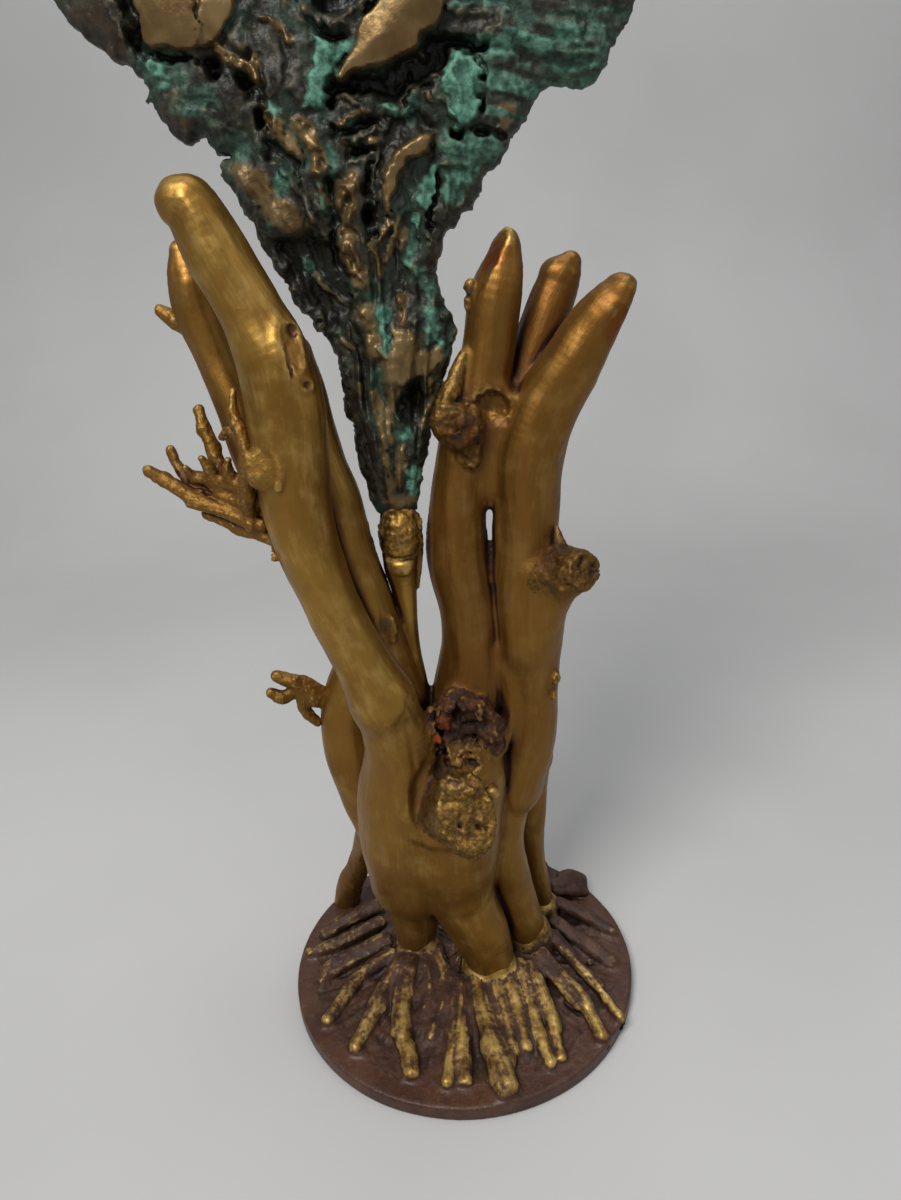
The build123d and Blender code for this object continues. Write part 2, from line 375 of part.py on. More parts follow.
# ---------------------------------------------------------------- hidden fasteners
screws, dowels = [], []
for x, y in ((-25.2, 1.0), (14.4, -14.0), (37.4, 4.0), (46.6, 30.0)):
    length = SCREW_LEN
    head = Pos(x, y, 0.4) * Solid.make_cone(SCREW_HEAD_R, SCREW_R, SCREW_HEAD_T)
    shank = Pos(x, y, 0.4 + SCREW_HEAD_T) * Solid.make_cylinder(SCREW_R, length - SCREW_HEAD_T - 4.0)
    tip = Pos(x, y, 0.4 + length - 4.0) * Solid.make_cone(SCREW_R, 0.3, 4.0)
    screw = biggest(head + shank + tip)
    slot = Pos(x, y, 0.4) * Box(2 * SCREW_HEAD_R + 1, 1.0, 2.2)
    slot2 = Pos(x, y, 0.4) * Box(1.0, 2 * SCREW_HEAD_R * 0.55, 2.2)
    screws.append(biggest(screw - slot - slot2))
    hole = Pos(x, y, -1) * Solid.make_cylinder(SCREW_R, length + 2.0)
    sink = Pos(x, y, 0.4) * Solid.make_cone(SCREW_HEAD_R, SCREW_R, SCREW_HEAD_T)
    mouth = Pos(x, y, -1) * Solid.make_cylinder(SCREW_HEAD_R, 1.4)
    disc = less(disc, hole, sink, mouth)
    for f in feet[:4]:
        pilot = Pos(x, y, 0.4 + SCREW_HEAD_T) * Solid.make_cylinder(SCREW_R, length - SCREW_HEAD_T)
        if touching(piece[f], pilot) and (piece[f] & pilot) and (piece[f] & pilot).solids():
            piece[f] = less(piece[f], pilot)
piece["base_disc"] = disc

# Each dowel: one end in the first piece, the other in the second.
joints = [
    ("left_main_limb", "trunk_body", (-37.0, -20.8, 196.0), (-27.5, -16.2, 165.0)),
    ("inner_left_limb", "trunk_body", (-26.5, 3.0, 186.0), (-18.5, 2.0, 138.0)),
    ("left_leg", "trunk_body", (-26.8, 1.5, 48.0), (-25.5, -1.0, 76.0)),
    ("centre_leg", "trunk_body", (4.0, -11.5, 48.0), (-2.0, -8.5, 76.0)),
    ("right_leg", "outer_right_limb", (23.5, 5.5, 98.0), (28.5, 8.0, 124.0)),
]
for a, b, p, q in joints:
    peg = rod(p, q, DOWEL_R)
    dowels.append(peg)
    piece[a] = less(piece[a], peg)
    piece[b] = less(piece[b], peg)
    for other in ("inner_right_limb", "left_low_lobe", "central_stem", "inner_left_limb", "burl_crust"):
        if other not in (a, b):
            piece[other] = less(piece[other], peg)

for name, solid in piece.items():
    export_step(solid, f"parts/{name}.step")
for name, solids in groups.items():
    export_step(Compound(children=solids) if len(solids) > 1 else solids[0], f"parts/{name}.step")
export_step(Compound(children=screws), "parts/base_screws.step")
export_step(Compound(children=dowels), "parts/dowels.step")
print(len(piece) + len(groups) + 2, "nodes")
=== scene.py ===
import math
import bpy
import numpy as np
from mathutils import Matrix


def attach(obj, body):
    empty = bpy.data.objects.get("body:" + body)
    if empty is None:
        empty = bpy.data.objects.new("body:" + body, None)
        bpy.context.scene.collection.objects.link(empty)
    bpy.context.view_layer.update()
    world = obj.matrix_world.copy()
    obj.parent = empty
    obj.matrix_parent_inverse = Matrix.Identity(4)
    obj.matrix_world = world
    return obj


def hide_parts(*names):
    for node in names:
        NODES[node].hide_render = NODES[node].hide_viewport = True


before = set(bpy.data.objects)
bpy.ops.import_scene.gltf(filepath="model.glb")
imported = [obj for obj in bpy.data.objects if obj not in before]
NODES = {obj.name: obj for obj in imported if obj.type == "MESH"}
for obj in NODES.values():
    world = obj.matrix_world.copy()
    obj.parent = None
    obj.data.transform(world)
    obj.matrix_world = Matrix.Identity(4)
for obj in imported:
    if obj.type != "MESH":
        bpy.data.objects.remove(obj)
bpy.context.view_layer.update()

import openvdb
from mathutils import Matrix, Vector

f32 = np.float32
PAD = 7.0
CAP = 9.0

# --------------------------------------------------------------------------
# Noise: hashed value noise on a lattice, the same on every run.
# --------------------------------------------------------------------------
def _hash(ix, iy, iz, seed):
    h = (ix.astype(np.uint32) * np.uint32(374761393) + iy.astype(np.uint32) * np.uint32(668265263)
         + iz.astype(np.uint32) * np.uint32(2147483647 % 4294967296) + np.uint32(seed * 974711 + 12345))
    h = (h ^ (h >> np.uint32(13))) * np.uint32(1274126177)
    h = h ^ (h >> np.uint32(16))
    h = h * np.uint32(2246822519)
    h = h ^ (h >> np.uint32(15))
    return (h & np.uint32(0xFFFFFF)).astype(f32) / f32(0xFFFFFF)


def vnoise(x, y, z, seed=0):
    """Smooth value noise in -1..1 at lattice coordinates x, y, z."""
    with np.errstate(over="ignore"):
        x, y, z = np.broadcast_arrays(np.asarray(x, f32), np.asarray(y, f32), np.asarray(z, f32))
        xi, yi, zi = np.floor(x).astype(np.int64), np.floor(y).astype(np.int64), np.floor(z).astype(np.int64)
        fx, fy, fz = x - xi, y - yi, z - zi
        u, v, w = (t * t * t * (t * (t * 6 - 15) + 10) for t in (fx, fy, fz))
        out = 0
        for dx in (0, 1):
            wx = u if dx else 1 - u
            for dy in (0, 1):
                wy = v if dy else 1 - v
                for dz in (0, 1):
                    wz = w if dz else 1 - w
                    out = out + wx * wy * wz * _hash(xi + dx, yi + dy, zi + dz, seed)
    return out * 2 - 1


def fbm(x, y, z, seed=0, octaves=3, gain=0.5):
    out, a, s, tot = 0, 1.0, 1.0, 0.0
    for o in range(octaves):
        out = out + a * vnoise(np.asarray(x) * s + 17.3 * o, np.asarray(y) * s - 5.1 * o, np.asarray(z) * s + 9.7 * o, seed + o)
        tot += a
        a *= gain
        s *= 2.03
    return out / tot


def ridged(x, y, z, seed=0, octaves=3):
    out, a, s, tot = 0, 1.0, 1.0, 0.0
    for o in range(octaves):
        out = out + a * (1 - np.abs(vnoise(np.asarray(x) * s + 3.3 * o, np.asarray(y) * s + 7.1 * o, np.asarray(z) * s, seed + o)) * 2)
        tot += a
        a *= 0.5
        s *= 2.07
    return out / tot


def sstep(a, b, x):
    t = np.clip((x - a) / (b - a), 0, 1)
    return t * t * (3 - 2 * t)


# --------------------------------------------------------------------------
# Distance fields on a grid, in millimetres.
# --------------------------------------------------------------------------
def dense(points, step=3.0):
    """A smooth centreline through x, y, z, r points, evenly spaced."""
    P = np.array(points, float)
    n = len(P)
    if n < 2:
        return P
    ext = np.vstack([2 * P[0] - P[1], P, 2 * P[-1] - P[-2]])
    ext[0, 3], ext[-1, 3] = P[0, 3], P[-1, 3]
    out = []
    for i in range(n - 1):
        p0, p1, p2, p3 = ext[i], ext[i + 1], ext[i + 2], ext[i + 3]
        t = np.linspace(0, 1, 12, endpoint=False)[:, None]
        out.append(0.5 * (2 * p1 + (p2 - p0) * t + (2 * p0 - 5 * p1 + 4 * p2 - p3) * t ** 2 + (3 * p1 - p0 - 3 * p2 + p3) * t ** 3))
    out = np.vstack(out + [P[-1:]])
    s = np.concatenate([[0], np.cumsum(np.linalg.norm(np.diff(out[:, :3], axis=0), axis=1))])
    m = max(2, int(round(s[-1] / step)) + 1)
    q = np.linspace(0, s[-1], m)
    return np.stack([np.interp(q, s, out[:, k]) for k in range(4)], 1)


def smin(a, b, k):
    if k <= 0:
        return np.minimum(a, b)
    h = np.clip(0.5 + 0.5 * (b - a) / k, 0, 1)
    return b + (a - b) * h - k * h * (1 - h)


def smax(a, b, k):
    return -smin(-a, -b, k)


class Field:
    """A block of distance values with the label of the nearest piece."""

    def __init__(self, low, high, h):
        self.h = h
        self.o = np.floor(np.array(low, float) / h) * h
        self.n = (np.ceil((np.array(high, float) - self.o) / h)).astype(int) + 1
        self.D = np.full(self.n, CAP, f32)
        self.best = np.full(self.n, CAP, f32)
        self.L = np.full(self.n, -1, np.int16)

    def sub(self, low, high):
        a = np.clip(np.floor((np.array(low) - self.o) / self.h).astype(int), 0, self.n)
        b = np.clip(np.ceil((np.array(high) - self.o) / self.h).astype(int) + 1, 0, self.n)
        return a, b

    def axes(self, a, b):
        x = (self.o[0] + np.arange(a[0], b[0]) * self.h).astype(f32)[:, None, None]
        y = (self.o[1] + np.arange(a[1], b[1]) * self.h).astype(f32)[None, :, None]
        z = (self.o[2] + np.arange(a[2], b[2]) * self.h).astype(f32)[None, None, :]
        return x, y, z

    def add(self, points, label, k=4.0, step=3.0, wobble=0.0, seed=1, squash=None):
        """Adds a round tapered limb; k is the width of the fillet with what is there."""
        P = dense(points, step) if len(points) > 1 else np.array([points[0], points[0]], float)
        rmax = P[:, 3].max() + PAD
        a, b = self.sub(P[:, :3].min(0) - rmax, P[:, :3].max(0) + rmax)
        if np.any(b <= a):
            return
        d = np.full(b - a, CAP, f32)
        for p, q in zip(P[:-1], P[1:]):
            r = max(p[3], q[3]) + PAD
            sa, sb = self.sub(np.minimum(p[:3], q[:3]) - r, np.maximum(p[:3], q[:3]) + r)
            if np.any(sb <= sa):
                continue
            x, y, z = self.axes(sa, sb)
            v = (q - p)[:3]
            L2 = max(float(v @ v), 1e-9)
            t = np.clip(((x - p[0]) * v[0] + (y - p[1]) * v[1] + (z - p[2]) * v[2]) / L2, 0, 1)
            dx, dy, dz = x - (p[0] + v[0] * t), y - (p[1] + v[1] * t), z - (p[2] + v[2] * t)
            dist = np.sqrt(dx * dx + dy * dy + dz * dz) - (p[3] + (q[3] - p[3]) * t)
            s = tuple(slice(i - j, m - j) for i, m, j in zip(sa, sb, a))
            d[s] = np.minimum(d[s], dist.astype(f32))
        if wobble:
            x, y, z = self.axes(a, b)
            near = np.abs(d) < 6
            ix = np.nonzero(near)
            d[ix] += (wobble * fbm(x[ix[0], 0, 0] / 16, y[0, ix[1], 0] / 16, z[0, 0, ix[2]] / 22, seed, 2)).astype(f32)
        self.merge(a, b, d, label, k)

    def merge(self, a, b, d, label, k):
        s = tuple(slice(i, j) for i, j in zip(a, b))
        self.D[s] = np.minimum(smin(self.D[s], d, k), CAP)
        if label is not None:
            near = d < self.best[s]
            self.best[s] = np.where(near, d, self.best[s])
            self.L[s] = np.where(near, np.int16(label), self.L[s])

    def lump(self, c, r, label=None, k=3.0, rough=0.0, freq=0.3, seed=5, axes=None):
        """Adds an ellipsoid lump; axes, if given, are its three unit directions."""
        c, r = np.array(c, float), np.array(r, float) if np.ndim(r) else np.array([r] * 3, float)
        m = r.max() + PAD
        a, b = self.sub(c - m, c + m)
        if np.any(b <= a):
            return
        d = self._ell(a, b, c, r, axes)
        if rough:
            x, y, z = self.axes(a, b)
            d = d + rough * fbm(x * freq, y * freq, z * freq, seed, 3)
        self.merge(a, b, np.minimum(d, CAP).astype(f32), label, k)

    def _ell(self, a, b, c, r, axes=None):
        x, y, z = self.axes(a, b)
        x, y, z = x - c[0], y - c[1], z - c[2]
        if axes is not None:
            A = np.array(axes, float)
            x, y, z = (A[i, 0] * x + A[i, 1] * y + A[i, 2] * z for i in range(3))
        k0 = np.sqrt((x / r[0]) ** 2 + (y / r[1]) ** 2 + (z / r[2]) ** 2)
        k1 = np.sqrt((x / r[0] ** 2) ** 2 + (y / r[1] ** 2) ** 2 + (z / r[2] ** 2) ** 2)
        return np.where(k1 > 1e-6, k0 * (k0 - 1) / np.maximum(k1, 1e-6), -r.min())

    def dent(self, c, r, k=2.0, rough=0.0, freq=0.3, seed=9, axes=None):
        """Takes an ellipsoid out."""
        c, r = np.array(c, float), np.array(r, float) if np.ndim(r) else np.array([r] * 3, float)
        m = r.max() + 3
        a, b = self.sub(c - m, c + m)
        if np.any(b <= a):
            return
        d = self._ell(a, b, c, r, axes)
        if rough:
            x, y, z = self.axes(a, b)
            d = d + rough * fbm(x * freq, y * freq, z * freq, seed, 3)
        s = tuple(slice(i, j) for i, j in zip(a, b))
        self.D[s] = smax(self.D[s], -d, k).astype(f32)

    def groove(self, points, k=1.5):
        """Takes a round tube out, for cracks and creases."""
        P = dense(points, 1.5)
        for p, q in zip(P[:-1], P[1:]):
            r = max(p[3], q[3]) + 4
            a, b = self.sub(np.minimum(p[:3], q[:3]) - r, np.maximum(p[:3], q[:3]) + r)
            if np.any(b <= a):
                continue
            x, y, z = self.axes(a, b)
            v = (q - p)[:3]
            t = np.clip(((x - p[0]) * v[0] + (y - p[1]) * v[1] + (z - p[2]) * v[2]) / max(float(v @ v), 1e-9), 0, 1)
            d = np.sqrt((x - (p[0] + v[0] * t)) ** 2 + (y - (p[1] + v[1] * t)) ** 2 + (z - (p[2] + v[2] * t)) ** 2) - (p[3] + (q[3] - p[3]) * t)
            s = tuple(slice(i, j) for i, j in zip(a, b))
            self.D[s] = smax(self.D[s], -d, k).astype(f32)

    def rough(self, low, high, amp, freq, seed=3, octaves=3, ridge=False):
        """Roughens the surface inside a box that fades out at its edge."""
        low, high = np.array(low, float), np.array(high, float)
        a, b = self.sub(low, high)
        if np.any(b <= a):
            return
        s = tuple(slice(i, j) for i, j in zip(a, b))
        x, y, z = self.axes(a, b)
        c, r = (low + high) / 2, (high - low) / 2
        w = 1 - sstep(0.55, 1.0, np.sqrt(((x - c[0]) / r[0]) ** 2 + ((y - c[1]) / r[1]) ** 2 + ((z - c[2]) / r[2]) ** 2))
        n = (ridged if ridge else fbm)(x * freq, y * freq, z * freq, seed, octaves)
        self.D[s] = (self.D[s] + amp * n * w).astype(f32)

    def clip(self, axis, value, keep_above=True):
        x = self.axes(np.zeros(3, int), self.n)[axis]
        self.D = np.maximum(self.D, ((value - x) if keep_above else (x - value)) * np.ones_like(self.D)).astype(f32)

    def sample(self, A, P):
        """Trilinear values of array A at points P in mm."""
        q = (P - self.o) / self.h
        q = np.clip(q, 0, np.array(A.shape) - 1.001)
        i = np.floor(q).astype(int)
        f = (q - i).astype(f32)
        out = 0
        for dx in (0, 1):
            for dy in (0, 1):
                for dz in (0, 1):
                    w = (f[:, 0] if dx else 1 - f[:, 0]) * (f[:, 1] if dy else 1 - f[:, 1]) * (f[:, 2] if dz else 1 - f[:, 2])
                    out = out + w * A[i[:, 0] + dx, i[:, 1] + dy, i[:, 2] + dz]
        return out

    def mesh(self):
        """Points in mm and quads, wound outwards."""
        g = openvdb.FloatGrid(float(2 * self.h))
        g.copyFromArray(np.ascontiguousarray(np.clip(self.D, -2 * self.h, 2 * self.h)), tolerance=0.0)
        v, q = g.convertToQuads(0.0)
        v = v.astype(float) * self.h + self.o
        q = q.astype(int)
        a, b, c, d = (v[q[:, i]] for i in range(4))
        nrm = np.cross(c - a, d - b)
        mid = (a + b + c + d) / 4
        ln = np.maximum(np.linalg.norm(nrm, axis=1), 1e-9)[:, None]
        pick = slice(None, None, max(1, len(q) // 4000))
        out = self.sample(self.D, (mid + nrm / ln * 0.6 * self.h)[pick]) - self.sample(self.D, (mid - nrm / ln * 0.6 * self.h)[pick])
        if np.sum(out > 0) < np.sum(out < 0):
            q = q[:, ::-1]
        return v, q


def vertex_normals(v, q):
    a, b, c, d = (v[q[:, i]] for i in range(4))
    n = np.cross(c - a, d - b)
    out = np.zeros_like(v)
    for i in range(4):
        for k in range(3):
            out[:, k] += np.bincount(q[:, i], n[:, k], len(v))
    return out / np.maximum(np.linalg.norm(out, axis=1), 1e-9)[:, None]


def relax(v, q, rounds=1, share=0.5):
    """Laplacian smoothing that keeps the mesh's size."""
    e = np.vstack([q[:, [0, 1]], q[:, [1, 2]], q[:, [2, 3]], q[:, [3, 0]]])
    e = np.vstack([e, e[:, ::-1]])
    deg = np.bincount(e[:, 0], minlength=len(v)).astype(float)
    for _ in range(rounds):
        for s in (share, -share * 1.04):
            m = np.stack([np.bincount(e[:, 0], v[e[:, 1], k], len(v)) for k in range(3)], 1) / deg[:, None]
            v = v + s * (m - v)
    return v


def blurred(q, n, a, rounds):
    e = np.vstack([q[:, [0, 1]], q[:, [1, 2]], q[:, [2, 3]], q[:, [3, 0]]])
    e = np.vstack([e, e[:, ::-1]])
    deg = np.bincount(e[:, 0], minlength=n).astype(float)
    a = a.astype(float)
    for _ in range(rounds):
        a = 0.5 * a + 0.5 * np.bincount(e[:, 0], a[e[:, 1]], n) / deg
    return a


# --------------------------------------------------------------------------
# From a mesh with labels to separate closed pieces.
# --------------------------------------------------------------------------
def clean_labels(q, fl, rounds=3):
    """Majority vote among neighbouring faces, so that borders run smoothly."""
    nv = q.max() + 1
    labels = np.unique(fl)
    for _ in range(rounds):
        count = np.zeros((len(labels), nv), f32)
        for i, l in enumerate(labels):
            m = fl == l
            for k in range(4):
                count[i] += np.bincount(q[m, k], minlength=nv)
        votes = sum(count[:, q[:, k]] for k in range(4))
        fl = labels[np.argmax(votes, 0)]
    return fl


def face_islands(q, fl):
    """Small islands of one label are given to their surroundings."""
    n = len(q)
    edges = np.vstack([np.sort(q[:, [i, (i + 1) % 4]], 1) for i in range(4)])
    face = np.tile(np.arange(n), 4)
    order = np.lexsort((edges[:, 1], edges[:, 0]))
    e, f = edges[order], face[order]
    same = np.all(e[1:] == e[:-1], 1)
    pa, pb = f[:-1][same], f[1:][same]
    for _ in range(2):
        link = fl[pa] == fl[pb]
        comp = np.arange(n)
        a, b = pa[link], pb[link]
        while True:
            m = np.minimum(comp[a], comp[b])
            new = comp.copy()
            np.minimum.at(new, a, m)
            np.minimum.at(new, b, m)
            new = new[new]
            if np.array_equal(new, comp):
                break
            comp = new
        size = np.bincount(comp, minlength=n)
        small = size[comp] < 260
        if not small.any():
            break
        cross = ~link
        for x, y in ((pa, pb), (pb, pa)):
            m = cross & small[x] & ~small[y]
            give = np.full(n, -1)
            give[comp[x[m]]] = fl[y[m]]
            hit = (give[comp] >= 0) & small
            fl = np.where(hit, give[comp], fl)
            small = small & ~hit
    return fl


def build(name, v, faces, normals, attrs, material, smooth=True):
    """A Blender mesh object from mm points; faces is a list of index arrays."""
    me = bpy.data.meshes.new(name)
    loops = np.concatenate([f.ravel() for f in faces]).astype(np.int32)
    sizes = np.concatenate([np.full(len(f), f.shape[1]) for f in faces]).astype(np.int32)
    me.vertices.add(len(v))
    me.vertices.foreach_set("co", (v * 0.001).astype(f32).ravel())
    me.loops.add(len(loops))
    me.loops.foreach_set("vertex_index", loops)
    me.polygons.add(len(sizes))
    me.polygons.foreach_set("loop_start", np.concatenate([[0], np.cumsum(sizes)[:-1]]).astype(np.int32))
    me.polygons.foreach_set("loop_total", sizes)
    me.update(calc_edges=True)
    me.validate(clean_customdata=False)
    if smooth:
        me.polygons.foreach_set("use_smooth", np.ones(len(me.polygons), bool))
    for key, val in attrs.items():
        at = me.attributes.new(key, "FLOAT", "POINT")
        at.data.foreach_set("value", np.asarray(val, f32).ravel())
    if normals is not None and len(me.vertices) == len(normals):
        me.normals_split_custom_set_from_vertices(normals.astype(f32).tolist())
    me.materials.append(material)
    ob = bpy.data.objects.new(name, me)
    bpy.context.scene.collection.objects.link(ob)
    return ob


def split(v, q, fl, names, normals, attrs, materials, skirt=1.0, sink=1.2, centre_z=None):
    """One closed object for each label: its faces, and a hidden wall over each open border."""
    out = {}
    for l in np.unique(fl):
        name = names[l]
        qq = q[fl == l]
        used, inv = np.unique(qq, return_inverse=True)
        qq = inv.reshape(qq.shape)
        vv, nn = v[used], normals[used]
        at = {k: a[used] for k, a in attrs.items()}
        e = np.vstack([qq[:, [i, (i + 1) % 4]] for i in range(4)])
        key = e[:, 0].astype(np.int64) * len(vv) + e[:, 1]
        rev = e[:, 1].astype(np.int64) * len(vv) + e[:, 0]
        border = e[~np.isin(key, rev)]
        caps, walls = [], []
        if len(border):
            comp = np.arange(len(vv))
            while True:
                m = np.minimum(comp[border[:, 0]], comp[border[:, 1]])
                new = comp.copy()
                np.minimum.at(new, border[:, 0], m)
                np.minimum.at(new, border[:, 1], m)
                new = new[new]
                if np.array_equal(new, comp):
                    break
                comp = new
            for c in np.unique(comp[border[:, 0]]):
                part = border[comp[border[:, 0]] == c]
                rim = np.unique(part)
                low = vv[rim] - nn[rim] * skirt
                centre = low.mean(0) - nn[rim].mean(0) * sink
                if centre_z is not None:
                    # on the disc the hidden walls run straight down into it
                    low = vv[rim].copy()
                    low[:, 2] = np.clip(low[:, 2] - 0.3, 0.3, centre_z + 1.0)
                    centre = low.mean(0)
                    centre[2] = centre_z
                inner = len(vv) + np.searchsorted(rim, part)
                vv = np.vstack([vv, low, centre])
                nn = np.vstack([nn, nn[rim], [[0, 0, 1]]])
                for k in at:
                    at[k] = np.concatenate([at[k], at[k][rim], [at[k][rim].mean()]])
                walls.append(np.stack([part[:, 1], part[:, 0], inner[:, 0], inner[:, 1]], 1))
                caps.append(np.stack([inner[:, 1], inner[:, 0], np.full(len(part), len(vv) - 1)], 1))
        faces = [np.vstack([qq] + walls)] + ([np.vstack(caps)] if caps else [])
        out[name] = build(name, vv, faces, nn, at, materials[name] if isinstance(materials, dict) else materials)
    return out


# --------------------------------------------------------------------------
# Materials, all from nodes.
# --------------------------------------------------------------------------
class Mat:
    def __init__(self, name):
        self.m = bpy.data.materials.new(name)
        self.m.use_nodes = True
        self.nt = self.m.node_tree
        self.nt.nodes.clear()
        self.out = self.nt.nodes.new("ShaderNodeOutputMaterial")
        self.bsdf = self.nt.nodes.new("ShaderNodeBsdfPrincipled")
        self.nt.links.new(self.bsdf.outputs[0], self.out.inputs[0])
        self.obj = self.nt.nodes.new("ShaderNodeTexCoord").outputs["Object"]

    def put(self, socket, value):
        if isinstance(value, bpy.types.NodeSocket):
            self.nt.links.new(value, socket)
        else:
            socket.default_value = value

    def attr(self, name):
        n = self.nt.nodes.new("ShaderNodeAttribute")
        n.attribute_name = name
        return n.outputs["Fac"]

    def math(self, op, a, b=0.0, clamp=False):
        n = self.nt.nodes.new("ShaderNodeMath")
        n.operation = op
        n.use_clamp = clamp
        self.put(n.inputs[0], a)
        self.put(n.inputs[1], b)
        return n.outputs[0]

    def add(self, a, b, clamp=False):
        return self.math("ADD", a, b, clamp)

    def mul(self, a, b, clamp=False):
        return self.math("MULTIPLY", a, b, clamp)

    def stretch(self, x, y, z, vector=None):
        n = self.nt.nodes.new("ShaderNodeVectorMath")
        n.operation = "MULTIPLY"
        self.put(n.inputs[0], vector if vector is not None else self.obj)
        n.inputs[1].default_value = (x, y, z)
        return n.outputs[0]

    def grain(self, x, y, z):
        """Coordinates that run along the limb, from the gx, gy and gs attributes in metres."""
        n = self.nt.nodes.new("ShaderNodeCombineXYZ")
        for i, (a, s) in enumerate((("gx", x), ("gy", y), ("gs", z))):
            self.put(n.inputs[i], self.mul(self.attr(a), s))
        return n.outputs[0]

    def noise(self, scale, detail=3.0, rough=0.55, vector=None, distortion=0.0):
        n = self.nt.nodes.new("ShaderNodeTexNoise")
        self.put(n.inputs["Vector"], vector if vector is not None else self.obj)
        n.inputs["Scale"].default_value = scale
        n.inputs["Detail"].default_value = detail
        n.inputs["Roughness"].default_value = rough
        n.inputs["Distortion"].default_value = distortion
        return n.outputs[0]

    def voronoi(self, scale, vector=None, feature="F1", randomness=1.0):
        n = self.nt.nodes.new("ShaderNodeTexVoronoi")
        n.feature = feature
        self.put(n.inputs["Vector"], vector if vector is not None else self.obj)
        n.inputs["Scale"].default_value = scale
        n.inputs["Randomness"].default_value = randomness
        return n.outputs["Distance"]

    def span(self, x, a, b, c=0.0, d=1.0):
        n = self.nt.nodes.new("ShaderNodeMapRange")
        n.interpolation_type = "SMOOTHSTEP"
        self.put(n.inputs[0], x)
        for i, v in zip((1, 2, 3, 4), (a, b, c, d)):
            n.inputs[i].default_value = v
        return n.outputs[0]

    def mix(self, f, a, b):
        n = self.nt.nodes.new("ShaderNodeMix")
        n.data_type = "RGBA"
        self.put(n.inputs[0], f)
        for s, v in ((n.inputs[6], a), (n.inputs[7], b)):
            self.put(s, v if isinstance(v, bpy.types.NodeSocket) else (*v, 1.0))
        return n.outputs[2]

    def lerp(self, f, a, b):
        n = self.nt.nodes.new("ShaderNodeMix")
        n.data_type = "FLOAT"
        for s, v in ((n.inputs[0], f), (n.inputs[2], a), (n.inputs[3], b)):
            self.put(s, v)
        return n.outputs[0]

    def bump(self, height, strength, distance, normal=None):
        n = self.nt.nodes.new("ShaderNodeBump")
        n.inputs["Distance"].default_value = distance
        self.put(n.inputs["Strength"], strength)
        self.put(n.inputs["Height"], height)
        if normal is not None:
            self.put(n.inputs["Normal"], normal)
        return n.outputs[0]

    def done(self, **inputs):
        for k, v in inputs.items():
            s = self.bsdf.inputs[k.replace("_", " ")]
            self.put(s, (*v, 1.0) if isinstance(v, tuple) and len(v) == 3 else v)
        return self.m


